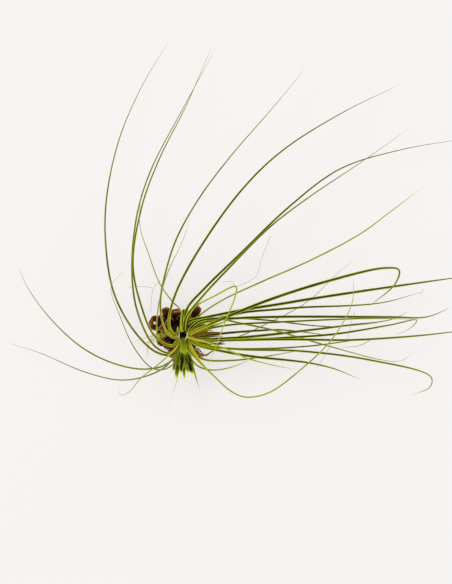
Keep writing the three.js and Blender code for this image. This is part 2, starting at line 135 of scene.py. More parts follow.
def even_shares(count: int) -> list[float]:
    """Returns a number of even marks from 0 to 1, both included."""
    return [mark / (count - 1) for mark in range(count)]


def length_of(points: Sequence[Vector]) -> float:
    """Returns the length of a line of points."""
    return sum((end - start).length for start, end in zip(points, points[1:]))


def at(start_and_change: Flat, share: float) -> float:
    """Returns what a start and its change come to at a share."""
    return start_and_change[0] + start_and_change[1] * share


def fade(run: float, reach: float) -> float:
    """Returns what is left of an effect at the root, a run away from it."""
    return math.exp(-(run / reach) ** 2)


def smooth_route(points: Sequence[Point] | Sequence[Vector], count: int) -> list[Vector]:
    """Draws a centripetal curve through points and marks it off in even steps.

    Args:
        points: The points that the curve goes through.
        count: How many points the result has.

    Returns:
        Points at even distances along the curve, ends included.
    """
    fine = 24
    places = [Vector(point) for point in points]
    ends = [places[0] * 2 - places[1], *places, places[-1] * 2 - places[-2]]
    dense = [places[0]]
    for before, start, end, after in zip(ends, ends[1:], ends[2:], ends[3:]):
        sides = ((before, start), (start, end), (end, after))
        spans = [max((far - close).length, 1e-9) ** 0.5 for close, far in sides]
        leave = ((start - before) / spans[0] - (end - before) / (spans[0] + spans[1])
                 + (end - start) / spans[1]) * spans[1]
        arrive = ((end - start) / spans[1] - (after - start) / (spans[1] + spans[2])
                  + (after - end) / spans[2]) * spans[1]
        for step in range(1, fine + 1):
            t = step / fine
            dense.append(
                start * (2 * t**3 - 3 * t**2 + 1) + leave * (t**3 - 2 * t**2 + t)
                + end * (3 * t**2 - 2 * t**3) + arrive * (t**3 - t**2))
    return even_steps(dense, count)


def even_steps(dense: Sequence[Vector], count: int) -> list[Vector]:
    """Marks off even distances along a line of many points.

    Args:
        dense: The line.
        count: How many points the result has.

    Returns:
        The marks, ends included.
    """
    runs = [0.0]
    for start, end in zip(dense, dense[1:]):
        runs.append(runs[-1] + (end - start).length)
    marks = []
    index = 0
    for mark in range(count):
        run = runs[-1] * mark / (count - 1)
        while index < len(runs) - 2 and runs[index + 1] < run:
            index += 1
        span = max(runs[index + 1] - runs[index], 1e-12)
        marks.append(dense[index].lerp(dense[index + 1], min(1.0, (run - runs[index]) / span)))
    return marks


# Modelling by operators


def take(*pieces: Piece) -> None:
    """Makes some pieces the only ones that are selected, the first of them active.

    Args:
        pieces: The pieces.
    """
    bpy.ops.object.select_all(action="DESELECT")
    for piece in pieces:
        piece.select_set(True)
    bpy.context.view_layer.objects.active = pieces[0]


def new_primitive(add: Callable[..., object], name: str, **settings: object) -> Piece:
    """Adds a primitive with its place in its mesh.

    Args:
        add: The operator that adds it.
        name: The new object's name.
        settings: The operator's settings.

    Returns:
        The new object, the only one selected.
    """
    bpy.ops.object.select_all(action="DESELECT")
    add(**settings)
    piece = bpy.context.object
    piece.name = piece.data.name = name
    bpy.ops.object.transform_apply(location=True, rotation=True, scale=True)
    return piece


@contextmanager
def editing(piece: Piece) -> Iterator[None]:
    """Opens a piece in edit mode with all of it selected, and closes it again.

    Args:
        piece: The piece.
    """
    take(piece)
    bpy.ops.object.mode_set(mode="EDIT")
    bpy.ops.mesh.select_mode(type="VERT")
    bpy.ops.mesh.select_all(action="SELECT")
    yield
    bpy.ops.object.mode_set(mode="OBJECT")


def pick(piece: Piece, test: Callable[[Vector], bool]) -> None:
    """Selects some of the points of a piece in edit mode.

    Args:
        piece: The piece.
        test: Tells from a point's place whether it is selected.
    """
    mesh = bmesh.from_edit_mesh(piece.data)
    for vertex in mesh.verts:
        vertex.select_set(test(vertex.co))
    mesh.select_flush_mode()
    bmesh.update_edit_mesh(piece.data)


def pick_faces(piece: Piece, test: Callable[[Vector, Vector], bool]) -> None:
    """Selects some of the faces of a piece in edit mode, and faces alone.

    Args:
        piece: The piece.
        test: Tells from a face's middle and normal whether it is selected.
    """
    bpy.ops.mesh.select_mode(type="FACE")
    mesh = bmesh.from_edit_mesh(piece.data)
    for face in mesh.faces:
        face.select_set(test(face.calc_center_median(), face.normal))
    bmesh.update_edit_mesh(piece.data)


def draw_out(way: Point, size: Point) -> None:
    """Extrudes the selected faces some way and resizes them to a share of their size."""
    bpy.ops.mesh.extrude_region_move(TRANSFORM_OT_translate={"value": way})
    bpy.ops.transform.resize(value=size)


def near(value: float, target: float, reach: float = 0.004) -> bool:
    """Tells whether a value is as good as its target."""
    return abs(value - target) < reach


def cut_across(places: Sequence[float], normal: Point) -> None:
    """Cuts what is open in edit mode by planes, so that it has edges to shape there.

    Args:
        places: Distances of the planes from the origin.
        normal: The axis that the planes are square to.
    """
    for place in places:
        bpy.ops.mesh.select_all(action="SELECT")
        bpy.ops.mesh.bisect(plane_co=Vector(normal) * place, plane_no=normal)


def apply_modifier(piece: Piece, kind: str, **settings: object) -> None:
    """Finishes a piece with a modifier.

    Args:
        piece: The piece.
        kind: The modifier's type.
        settings: The modifier's settings.
    """
    take(piece)
    modifier = piece.modifiers.new(kind.lower(), kind)
    for name, value in settings.items():
        setattr(modifier, name, value)
    bpy.ops.object.modifier_apply(modifier=modifier.name)


def copy_of(piece: Piece, name: str) -> Piece:
    """Copies a piece with a mesh of its own.

    Args:
        piece: The piece.
        name: The copy's name.

    Returns:
        The copy.
    """
    copy = piece.copy()
    copy.data = piece.data.copy()
    copy.name = copy.data.name = name
    bpy.context.scene.collection.objects.link(copy)
    return copy


def join(pieces: Sequence[Piece], name: str) -> Piece:
    """Joins pieces into one object.

    Args:
        pieces: The pieces.
        name: The whole's name.

    Returns:
        The whole.
    """
    take(*pieces)
    bpy.ops.object.join()
    pieces[0].name = pieces[0].data.name = name
    return pieces[0]


def turn_normals_out(piece: Piece) -> None:
    """Makes every face of a closed piece point outwards."""
    with editing(piece):
        bpy.ops.mesh.normals_make_consistent(inside=False)


def soften(piece: Piece, degrees: float) -> None:
    """Shades a piece smooth, apart from edges sharper than an angle in degrees."""
    take(piece)
    bpy.ops.object.shade_smooth_by_angle(angle=math.radians(degrees))


def keep(piece: Piece, name: str, values: Sequence[float]) -> None:
    """Keeps one number for each point of a piece, under a name."""
    attribute = piece.data.attributes.get(name) or piece.data.attributes.new(name, "FLOAT", "POINT")
    attribute.data.foreach_set("value", values)


def kept_on(piece: Piece, name: str) -> list[float]:
    """Returns the numbers that are kept on a piece under a name."""
    return [item.value for item in piece.data.attributes[name].data]


def note(piece: Piece, name: str, rule: Callable[[Vector], float]) -> None:
    """Keeps a number for each point of a piece, worked out from where the point is now."""
    keep(piece, name, [rule(vertex.co) for vertex in piece.data.vertices])


def note_along(piece: Piece, name: str, rule: Rule) -> None:
    """Keeps a number for each point of a bent piece, worked out from its share of the length."""
    keep(piece, name, [rule(share) for share in kept_on(piece, "along")])


def note_shares(blank: Piece) -> None:
    """Keeps the share of the length, and the place across from -1 to 1, of a straight piece."""
    note(blank, "along", lambda place: place.x)
    note(blank, "across", lambda place: 2 * place.y)


def note_runs(piece: Piece, length: float, dried: float) -> None:
    """Keeps each point's way from the root, in metres, and how far into the dried tip it is."""
    note_along(piece, "run", lambda share: share * length * MM)
    note_along(piece, "tip", lambda share: max(0.0, 1 - (1 - share) * length / (2 * dried)))


def bend(blank: Piece, name: str, route: Sequence[Vector], widths: Sequence[float],
         rolls: Sequence[float] | None = None) -> Piece:
    """Copies a blank, a straight piece of length and width 1, and bends it along a route.

    Args:
        blank: The straight piece, along +X with its upper side to +Z.
        name: The new piece's name.
        route: Points in metres that the middle line follows.
        widths: Width in metres at each point.
        rolls: Turn about the middle line at each point, in radians.

    Returns:
        The bent piece.
    """
    guide_line = bpy.data.curves.new(name + "_guide", "CURVE")
    guide_line.dimensions = "3D"
    guide_line.twist_mode = "Z_UP"
    guide_line.use_radius = guide_line.use_stretch = guide_line.use_deform_bounds = True
    spline = guide_line.splines.new("POLY")
    spline.points.add(len(route) - 1)
    for point, place, width, roll in zip(spline.points, route, widths, rolls or [0.0] * len(route)):
        point.co = (*place, 1.0)
        point.radius = width
        point.tilt = roll
    guide = bpy.data.objects.new(name + "_guide", guide_line)
    bpy.context.scene.collection.objects.link(guide)
    piece = copy_of(blank, name)
    apply_modifier(piece, "CURVE", object=guide, deform_axis="POS_X")
    bpy.data.objects.remove(guide)
    bpy.data.curves.remove(guide_line)
    return piece


def lay_strip(blank: Piece, name: str, points: Sequence[Point] | Sequence[Vector],
              marks: int, width: Rule, dried: float, roll: Rule = lambda share: 0.0,
              length: float = 0.0) -> Piece:
    """Bends a blank along points on the plant and keeps what its colours need.

    Args:
        blank: The straight piece.
        name: The new piece's name.
        points: The points, in millimetres above the cone's top.
        marks: How many points the middle line is marked off in.
        width: Gives the width in millimetres at a share of the length.
        dried: Length of the dried tip in millimetres.
        roll: Gives the turn about the middle line at a share of the length, in radians.
        length: Length in millimetres that the colours count with, or 0 for the real one.

    Returns:
        The bent piece.
    """
    line = smooth_route(points, marks)
    shares = even_shares(marks)
    piece = bend(blank, name, on_cone(line), [width(share) * MM for share in shares],
                 [roll(share) for share in shares])
    note_runs(piece, length or length_of(line), dried)
    return piece


# Blanks


def new_grid(name: str, steps: int, columns: int) -> Piece:
    """Lays a flat grid of length and width 1 along +X.

    Args:
        name: The grid's name.
        steps: How many faces it has along.
        columns: How many faces it has across.

    Returns:
        The grid, with its shares kept on its points.
    """
    grid = new_primitive(
        bpy.ops.mesh.primitive_grid_add, name, x_subdivisions=steps, y_subdivisions=columns, size=1,
        location=(0.5, 0, 0))
    note_shares(grid)
    return grid


def raise_columns(grid: Piece, columns: int, lifts: Sequence[float]) -> None:
    """Raises a grid's columns of points in pairs, which curves it across.

    Args:
        grid: The grid, open in edit mode.
        columns: How many faces it has across.
        lifts: How far each pair is raised, from the edges inwards.
    """
    for index, lift in enumerate(lifts):
        column = 0.5 - index / columns
        pick(grid, lambda place: near(abs(place.y), column))
        bpy.ops.transform.translate(value=(0, 0, lift))


def smooth_off(piece: Piece, rounds: int, degrees: float) -> None:
    """Rounds a closed piece, turns its faces out and shades it smooth.

    Args:
        piece: The piece.
        rounds: How many times its faces are divided.
        degrees: Edges sharper than this stay sharp.
    """
    if rounds:
        apply_modifier(piece, "SUBSURF", levels=rounds, render_levels=rounds)
    turn_normals_out(piece)
    soften(piece, degrees)


@dataclass
class BladeBlank:
    """A straight leaf blade of length and width 1, which every leaf is bent from."""

    steps: int = 150
    columns: int = 8
    thickness: float = 0.2
    # height of the edges, of the parts between, and of the keel, from the edge inwards
    channel: tuple[float, ...] = (0.38, 0.21, 0.08, 0.02, -0.03)

    def model(self) -> Piece:
        """Shapes a grid into a ribbed channel and gives it its thickness.

        Returns:
            The blank.
        """
        blade = new_grid("blade_blank", self.steps, self.columns)
        with editing(blade):
            raise_columns(blade, self.columns, self.channel)
        apply_modifier(blade, "SOLIDIFY", thickness=self.thickness, offset=0.0)
        smooth_off(blade, 0, 50)
        return blade


@dataclass
class PointedBlank:
    """A pointed sheet of length and width 1, curved across, for the bracts and the sheaths."""

    # width at even steps along
    outline: tuple[float, ...]
    columns: int
    # how far the edges are raised, and how suddenly
    edge_lift: float
    curl: float
    thickness: float

    def model(self) -> Piece:
        """Curves a grid across, narrows it to a point and thickens it.

        Returns:
            The blank.
        """
        sheet = new_grid("pointed_blank", len(self.outline) - 1, self.columns)
        lifts = [self.edge_lift * (1 - 2 * index / self.columns) ** self.curl
                 for index in range(self.columns // 2)]
        with editing(sheet):
            raise_columns(sheet, self.columns, lifts)
            for share, width in zip(even_shares(len(self.outline)), self.outline):
                pick(sheet, lambda place: near(place.x, share))
                bpy.ops.transform.resize(value=(1, width, width), center_override=(share, 0, 0))
        apply_modifier(sheet, "SOLIDIFY", thickness=self.thickness, offset=0.0)
        smooth_off(sheet, 1, 60)
        return sheet


@dataclass
class RodBlank:
    """A straight round rod of length and width 1, for the stalk and the dried threads."""

    sides: int = 12
    steps: int = 24
    flatness: float = 1.0

    def model(self) -> Piece:
        """Cuts a cylinder into rings and flattens it.

        Returns:
            The blank.
        """
        rod = new_primitive(
            bpy.ops.mesh.primitive_cylinder_add, "rod_blank", vertices=self.sides, radius=0.5,
            depth=1, location=(0.5, 0, 0), rotation=(0, math.pi / 2, 0))
        with editing(rod):
            cut_across(even_shares(self.steps + 1)[1:-1], (1, 0, 0))
            bpy.ops.mesh.select_all(action="SELECT")
            bpy.ops.transform.resize(value=(1, 1, self.flatness), center_override=(0, 0, 0))
        note_shares(rod)
        soften(rod, 50)
        return rod


@dataclass
class ScaleBlank:
    """A woody cone scale of length and width 1, cupped, with a thick rim and a blunt boss."""

    # share of the length, then width, thickness and cupping as shares of the width
    outline: tuple[Row, ...] = (
        (0, 0.5, 0.2, 0), (0.2, 0.6, 0.16, 0.03), (0.35, 0.74, 0.13, 0.08), (0.52, 0.9, 0.12, 0.14),
        (0.68, 1.02, 0.13, 0.2), (0.8, 1.06, 0.16, 0.22), (0.88, 1, 0.24, 0.2),
        (0.95, 0.84, 0.3, 0.14), (1, 0.55, 0.22, 0.08))
    columns: tuple[float, ...] = (-0.4, -0.25, -0.1, 0.1, 0.25, 0.4)
    # how much thinner the sides are than the middle
    thinning: float = 0.75
    crinkle: float = 0.035
    crinkled_from: float = 0.5
    # where the boss is along the scale, half its width, its rim, its height and its narrower top
    boss_place: Flat = (0.88, 0.96)
    boss_reach: float = 0.1
    boss_rim: float = 0.02
    boss_height: float = 0.1
    boss_top: float = 0.5

    def model(self, seed: int) -> Piece:
        """Shapes a block into a scale.

        Args:
            seed: Chooses the crinkles.

        Returns:
            The blank.
        """
        scale = new_primitive(
            bpy.ops.mesh.primitive_cube_add, "scale_blank", size=1, location=(0.5, 0, 0))
        with editing(scale):
            cut_across([share for share, *_ in self.outline[1:-1]], (1, 0, 0))
            cut_across(self.columns, (0, 1, 0))
            for share, width, thickness, cup in self.outline:
                self.shape_row(scale, share, width, thickness, cup)
            self.raise_boss(scale)
            pick(scale, lambda place: place.x > self.crinkled_from)
            bpy.ops.transform.vertex_random(offset=self.crinkle, uniform=0.5, normal=0.5, seed=seed)
        note_shares(scale)
        note(scale, "upper", lambda place: min(1.0, max(0.0, 0.5 + 6 * place.z)))
        smooth_off(scale, 2, 60)
        return scale

    def shape_row(self, scale: Piece, share: float, width: float, thickness: float,
                  cup: float) -> None:
        """Gives one row of points across the scale its width, thickness and cupping.

        Args:
            scale: The scale, open in edit mode.
            share: Where the row is along it.
            width: The row's width.
            thickness: Its thickness in the middle.
            cup: How far its sides are raised.
        """
        pick(scale, lambda place: near(place.x, share))
        bpy.ops.transform.resize(value=(1, 1, thickness), center_override=(share, 0, 0))
        for column in (0.5, 0.4, 0.25):
            pick(scale, lambda place: near(place.x, share) and near(abs(place.y), column))
            thinner = 1 - self.thinning * (2 * column) ** 3
            bpy.ops.transform.resize(value=(1, 1, thinner), center_override=(share, 0, 0))
            bpy.ops.transform.translate(value=(0, 0, cup * (2 * column) ** 2))
        pick(scale, lambda place: near(place.x, share))
        bpy.ops.transform.resize(value=(1, width, 1), center_override=(share, 0, 0))

    def raise_boss(self, scale: Piece) -> None:
        """Draws a blunt boss out of the thick end of the scale's upper face.

        Args:
            scale: The scale, open in edit mode.
        """
        low, high = self.boss_place
        pick_faces(scale, lambda middle, normal: (
            low < middle.x < high and abs(middle.y) < self.boss_reach and normal.z > 0.5))
        bpy.ops.mesh.inset(thickness=self.boss_rim)
        draw_out((0.02, 0, self.boss_height), (self.boss_top, self.boss_top, 1))
        bpy.ops.mesh.select_mode(type="VERT")


# Shading


class Sketch:
    """Places shader nodes in one tree and joins them."""

    def __init__(self, tree: bpy.types.NodeTree) -> None:
        """Starts on a tree."""
        self.tree = tree

    def add(self, kind: str, **settings: object) -> bpy.types.Node:
        """Adds a node.

        Args:
            kind: The node's type.
            settings: Its settings.

        Returns:
            The node.
        """
        node = self.tree.nodes.new(kind)
        for name, value in settings.items():
            setattr(node, name, value)
        return node

    def feed(self, socket: Socket, value: object) -> None:
        """Joins a socket to another, or sets its value.

        Args:
            socket: The socket that is fed.
            value: The other socket, or the value.
        """
        if isinstance(value, Socket):
            self.tree.links.new(value, socket)
        else:
            socket.default_value = value

    def fed(self, kind: str, *values: object, **settings: object) -> Socket:
        """Adds a node and feeds its first sockets.

        Args:
            kind: The node's type.
            values: What its sockets are fed with, in their order.
            settings: Its settings.

        Returns:
            Its first output.
        """
        node = self.add(kind, **settings)
        for socket, value in zip(node.inputs, values):
            self.feed(socket, value)
        return node.outputs[0]

    def times(self, first: object, second: object) -> Socket:
        """Returns the product of two numbers."""
        return self.fed("ShaderNodeMath", first, second, operation="MULTIPLY")

    def plus(self, first: object, second: object) -> Socket:
        """Returns the sum of two numbers."""
        return self.fed("ShaderNodeMath", first, second, operation="ADD")

    def most(self, first: object, second: object) -> Socket:
        """Returns the larger of two numbers."""
        return self.fed("ShaderNodeMath", first, second, operation="MAXIMUM")

    def rest(self, value: object) -> Socket:
        """Returns what a number leaves of 1."""
        return self.fed("ShaderNodeMath", 1.0, value, operation="SUBTRACT")

    def unsigned(self, value: object) -> Socket:
        """Returns a number without its sign."""
        return self.fed("ShaderNodeMath", value, operation="ABSOLUTE")

    def risen(self, value: object, rise: float, start: float) -> Socket:
        """Returns a start and, on top of it, a rise for each whole of a number."""
        return self.fed("ShaderNodeMath", value, rise, start, operation="MULTIPLY_ADD")

    def ramp(self, value: object, low: float, high: float) -> Socket:
        """Returns a soft step from 0, at low, to 1, at high."""
        return self.fed("ShaderNodeMapRange", value, low, high, 0.0, 1.0,
                        interpolation_type="SMOOTHSTEP")

    def vector(self, x: object, y: object, z: object = 0.0) -> Socket:
        """Returns a place made of three numbers."""
        return self.fed("ShaderNodeCombineXYZ", x, y, z)

    def kept(self, name: str) -> Socket:
        """Returns a number that is kept on the piece's points."""
        return self.add("ShaderNodeAttribute", attribute_name=name).outputs["Fac"]

    def place(self) -> Socket:
        """Returns the place on the piece, in metres."""
        return self.add("ShaderNodeTexCoord").outputs["Object"]

    def mix(self, share: object, first: object, second: object) -> Socket:
        """Mixes two colours.

        Args:
            share: Share of the second colour.
            first: First colour.
            second: Second colour.

        Returns:
            The mixed colour.
        """
        node = self.add("ShaderNodeMix", data_type="RGBA")
        for index, value in ((0, share), (6, first), (7, second)):
            self.feed(node.inputs[index], value)
        return node.outputs[2]

    def noise(self, where: object, scale: float, detail: float) -> Socket:
        """Lays noise between 0 and 1 over a piece.

        Args:
            where: The place that it is read at.
            scale: How fine it is.
            detail: How many finer layers it has.

        Returns:
            The noise.
        """
        node = self.add("ShaderNodeTexNoise")
        for name, value in (("Vector", where), ("Scale", scale), ("Detail", detail)):
            self.feed(node.inputs[name], value)
        return node.outputs[0]

    def give(self, colour: object, roughness: object, height: object) -> None:
        """Ends a node group with the three outputs that every surface here has.

        Args:
            colour: The surface's colour.
            roughness: Its roughness.
            height: Its relief.
        """
        out = self.add("NodeGroupOutput")
        for socket, value in zip(out.inputs, (colour, roughness, height)):
            self.feed(socket, value)


def linear(code: str) -> Row:
    """Turns a colour code into the values that a shader takes.

    Args:
        code: Six hexadecimal digits, red first, as seen on a screen.

    Returns:
        Linear red, green and blue, and full opacity.
    """
    shares = [int(code[start:start + 2], 16) / 255 for start in (0, 2, 4)]
    red, green, blue = (
        share / 12.92 if share <= 0.04045 else ((share + 0.055) / 1.055) ** 2.4 for share in shares
    )
    return red, green, blue, 1.0


def new_group(name: str, colours: Sequence[str], numbers: Sequence[str]) -> bpy.types.NodeTree:
    """Starts a node group with the three outputs that every surface here has.

    Args:
        name: The group's name.
        colours: Names of its colour inputs.
        numbers: Names of its number inputs.

    Returns:
        The group.
    """
    group = bpy.data.node_groups.new(name, "ShaderNodeTree")
    for hand, kind, labels in (
            ("INPUT", "Color", colours), ("INPUT", "Float", numbers),
            ("OUTPUT", "Color", ["Colour"]), ("OUTPUT", "Float", ["Roughness", "Height"])):
        for label in labels:
            group.interface.new_socket(label, in_out=hand, socket_type="NodeSocket" + kind)
    return group


@dataclass(frozen=True)
class BladeSkin:
    """The skin that all leafy surfaces share.

    A flushed root, or a dark one that is partly the brown of old sheaths and partly painted shade,
    runs into the blade's own green, which pales towards the dried tip.
    The margin is lighter, fine veins run along the blade and silvery hairs give a thin bloom.
    One half of the blade takes a painted highlight, and near the root the other half painted shade.
    A pair is where an effect starts and where it is whole, unless its comment says otherwise.
    """

    # fine strands: how closely they lie across and how soon they change along, in metres, how fine
    # they are and how ragged they make an edge
    strands: Flat = (5.0, 30.0)
    strand_scale: float = 1.6
    raggedness: float = 0.5
    patch: Flat = (0.35, 0.65)
    patch_scale: float = 45.0
    # paler outer end: where along the blade, how strong, and how much of it is the dried colour
    pale_end: Flat = (0.5, 1.0)
    paling: float = 0.4
    pale_dryness: float = 0.6
    flush: Flat = (0.05, 0.8)
    root_end: Flat = (0.04, 0.2)
    # lit side: where across, how strong all along, and how much more at the root
    lit: Flat = (0.35, 0.8)
    lit_all: float = 0.22
    lit_root: float = 0.6
    # far side, painted in shade at the root alone
    far: Flat = (-0.1, 0.5)
    far_root: float = 0.85
    # how near to black the darkening goes, for a dusky leaf and for the painted far-side shade
    dusk: float = 0.8
    margin: Flat = (0.7, 0.95)
    margin_all: float = 0.7
    margin_root: float = 0.3
    # the dark root: partly the brown of old sheaths, partly painted shade in the tuft and the heart
    brown: Flat = (0.2, 0.8)
    shaded_brown_tone: str = "141002"
    brown_margin_code: str = "7a6416"
    vein: Flat = (0.4, 0.6)
    vein_depth: float = 0.65
    dry: Flat = (0.3, 0.75)
    rusty_code: str = "b85a20"
    hair: Flat = (0.55, 0.72)
    hair_scale: float = 2600.0
    hair_colour: Row = (0.72, 0.75, 0.62, 1.0)
    hair_height: float = 0.15
    # roughness of the bare blade, and how much more the hairs give it
    roughness: Flat = (0.45, 0.25)

    def group(self) -> bpy.types.NodeTree:
        """Makes the skin.

        Returns:
            The node group.
        """
        group = new_group("blade_skin", ("Sheath", "Blade", "Shade", "Margin", "Tip"),
                          ("Veins", "Bloom"))
        sketch = Sketch(group)
        given = sketch.add("NodeGroupInput").outputs
        place = sketch.place()
        along = sketch.kept("along")
        across = sketch.kept("across")
        strands = sketch.noise(
            sketch.vector(sketch.times(across, self.strands[0]),
                          sketch.times(sketch.kept("run"), self.strands[1])),
            self.strand_scale, 3.0)
        ragged = sketch.times(sketch.plus(strands, -0.5), self.raggedness)
        patches = sketch.ramp(sketch.noise(place, self.patch_scale, 3.0), *self.patch)
        colour = sketch.mix(patches, given["Blade"], given["Shade"])
        pale = sketch.mix(self.pale_dryness, given["Margin"], given["Tip"])
        paling = sketch.times(sketch.ramp(along, *self.pale_end), self.paling)
        colour = sketch.mix(paling, colour, pale)
        flushed = sketch.ramp(sketch.plus(sketch.kept("flush"), ragged), *self.flush)
        colour = sketch.mix(flushed, colour, given["Sheath"])
        near_root = sketch.rest(sketch.ramp(along, *self.root_end))
        # painted shade over the far half near the root, joined with the leaf's own dusk
        far_shade = sketch.times(sketch.ramp(across, *self.far),
                                sketch.times(near_root, self.far_root))
        dusky = sketch.mix(self.dusk, colour, BLACK)
        colour = sketch.mix(sketch.most(sketch.kept("dusk"), far_shade), colour, dusky)
        lit_side = sketch.times(sketch.ramp(sketch.times(across, -1.0), *self.lit),
                                sketch.risen(near_root, self.lit_root, self.lit_all))
        rim = sketch.times(sketch.ramp(sketch.unsigned(across), *self.margin),
                           sketch.risen(near_root, self.margin_root, self.margin_all))
        # the paler margin, together with the painted highlight along the lit half
        margin = sketch.most(lit_side, rim)
        colour = sketch.mix(margin, colour, given["Margin"])
        # the dark root's colour, which is partly old brown sheath and partly painted shade
        brown = sketch.mix(margin, linear(self.shaded_brown_tone), linear(self.brown_margin_code))
        shade_and_brown = sketch.ramp(sketch.plus(sketch.kept("shade_and_brown"), ragged), *self.brown)
        colour = sketch.mix(shade_and_brown, colour, brown)
        dark = sketch.mix(self.vein_depth, colour, BLACK)
        vein = sketch.times(sketch.ramp(strands, *self.vein), given["Veins"])
        colour = sketch.mix(vein, colour, dark)
        tip = sketch.mix(sketch.kept("rusty"), given["Tip"], linear(self.rusty_code))
        dried = sketch.ramp(sketch.plus(sketch.kept("tip"), ragged), *self.dry)
        colour = sketch.mix(dried, colour, tip)
        hairs = sketch.ramp(sketch.noise(place, self.hair_scale, 1.0), *self.hair)
        colour = sketch.mix(sketch.times(hairs, given["Bloom"]), colour, self.hair_colour)
        bare, more = self.roughness
        sketch.give(colour, sketch.risen(hairs, more, bare),
                    sketch.plus(strands, sketch.times(hairs, self.hair_height)))
        return group


@dataclass(frozen=True)
class WoodGrain:
    """The woody surface of the cone: dark inside, paler and greyer at the scales' rims.

    A pair is where an effect starts and where it is whole, unless its comment says otherwise.
    """

    inside_code: str = "1c090a"
    face_code: str = "7a3612"
    rim_code: str = "c48c58"
    grain_depth: float = 0.7
    # fibres: how closely they lie across, how soon they change along, and how fine they are
    fibres: Flat = (9.0, 1.4)
    fibre_scale: float = 2.2
    blotch_scale: float = 260.0
    raggedness: float = 0.35
    face: Flat = (0.66, 0.9)
    side: Flat = (0.72, 0.98)
    side_along: Flat = (0.4, 0.65)
    rim: Flat = (0.9, 1.0)
    rim_blotch: Flat = (0.42, 0.62)
    grain: Flat = (0.4, 0.62)
    dark: float = 0.75
    # roughness of the smoothest wood, and how much more the blotches give it
    roughness: Flat = (0.3, 0.5)
    relief: float = 0.4
    shine: float = 0.2

    def group(self) -> bpy.types.NodeTree:
        """Makes the surface.

        Returns:
            The node group.
        """
        group = new_group("wood_grain", ("Inside", "Face", "Rim"), ("Grain",))
        sketch = Sketch(group)
        given = sketch.add("NodeGroupInput").outputs
        place = sketch.place()
        along = sketch.kept("along")
        across = sketch.kept("across")
        fibres = sketch.noise(
            sketch.vector(sketch.times(across, self.fibres[0]), sketch.times(along, self.fibres[1]),
                          sketch.noise(place, 60.0, 0.0)),
            self.fibre_scale, 4.0)
        blotches = sketch.noise(place, self.blotch_scale, 4.0)
        where = sketch.plus(along, sketch.times(sketch.plus(blotches, -0.5), self.raggedness))
        faced = sketch.most(sketch.ramp(where, *self.face), sketch.rest(sketch.kept("upper")))
        colour = sketch.mix(faced, given["Inside"], given["Face"])
        side = sketch.times(sketch.ramp(sketch.unsigned(across), *self.side),
                            sketch.ramp(along, *self.side_along))
        edge = sketch.most(sketch.ramp(where, *self.rim), side)
        rim = sketch.times(edge, sketch.ramp(blotches, *self.rim_blotch))
        colour = sketch.mix(rim, colour, given["Rim"])
        dark = sketch.mix(self.dark, colour, BLACK)
        grain = sketch.times(sketch.ramp(fibres, *self.grain), given["Grain"])
        colour = sketch.mix(grain, colour, dark)
        smooth, more = self.roughness
        sketch.give(colour, sketch.risen(blotches, more, smooth),
                    sketch.plus(fibres, sketch.times(blotches, 0.5)))
        return group

    def material(self) -> bpy.types.Material:
        """Makes the cone's wood.

        Returns:
            The material.
        """
        values = {"Inside": linear(self.inside_code), "Face": linear(self.face_code),
                  "Rim": linear(self.rim_code), "Grain": self.grain_depth}
        return surface(Slot.WOOD, self.group(), values, self.relief, self.shine)


def new_material(name: str) -> tuple[bpy.types.Material, Sketch, bpy.types.NodeInputs]:
    """Starts a material.

    Args:
        name: The material's name.

    Returns:
        The material, a sketch of its nodes and its shader's inputs.
    """
    material = bpy.data.materials.new(name)
    material.use_nodes = True
    sketch = Sketch(material.node_tree)
    shader = next(node for node in sketch.tree.nodes if node.type == "BSDF_PRINCIPLED")
    return material, sketch, shader.inputs


def surface(slot: Slot, group: bpy.types.NodeTree, values: dict[str, object], relief: float,
            shine: float) -> bpy.types.Material:
    """Makes a material from a surface group.

    Args:
        slot: The record's slot, which names the material.
        group: The group that gives colour, roughness and height.
        values: The group's inputs.
        relief: Depth of the relief, in millimetres.
        shine: The shader's specular level.

    Returns:
        The material.
    """
    material, sketch, shader = new_material(slot.value)
    skin = sketch.add("ShaderNodeGroup", node_tree=group)
    for key, value in values.items():
        skin.inputs[key].default_value = value
    bump = sketch.add("ShaderNodeBump")
    bump.inputs["Strength"].default_value = 0.6
    bump.inputs["Distance"].default_value = relief * MM
    sketch.feed(bump.inputs["Height"], skin.outputs["Height"])
    sketch.feed(shader["Base Color"], skin.outputs["Colour"])
    sketch.feed(shader["Roughness"], skin.outputs["Roughness"])
    sketch.feed(shader["Normal"], bump.outputs["Normal"])
    shader["Specular IOR Level"].default_value = shine
    return material


@dataclass(frozen=True)
class LeafFinish:
    """Colours of a leafy surface, as codes, and how strong its veins and bloom are."""

    slot: Slot
    sheath: str
    blade: str
    shade: str
    margin: str
    tip: str
    veins: float = 0.5
    bloom: float = 0.02
    relief: float = 0.1
    shine: float = 0.03

    def material(self, skin: bpy.types.NodeTree) -> bpy.types.Material:
        """Makes the material.

        Args:
            skin: The shared skin.

        Returns:
            The material.
        """
        values = {
            "Sheath": linear(self.sheath), "Blade": linear(self.blade), "Shade": linear(self.shade),
            "Margin": linear(self.margin), "Tip": linear(self.tip), "Veins": self.veins,
            "Bloom": self.bloom}
        return surface(self.slot, skin, values, self.relief, self.shine)


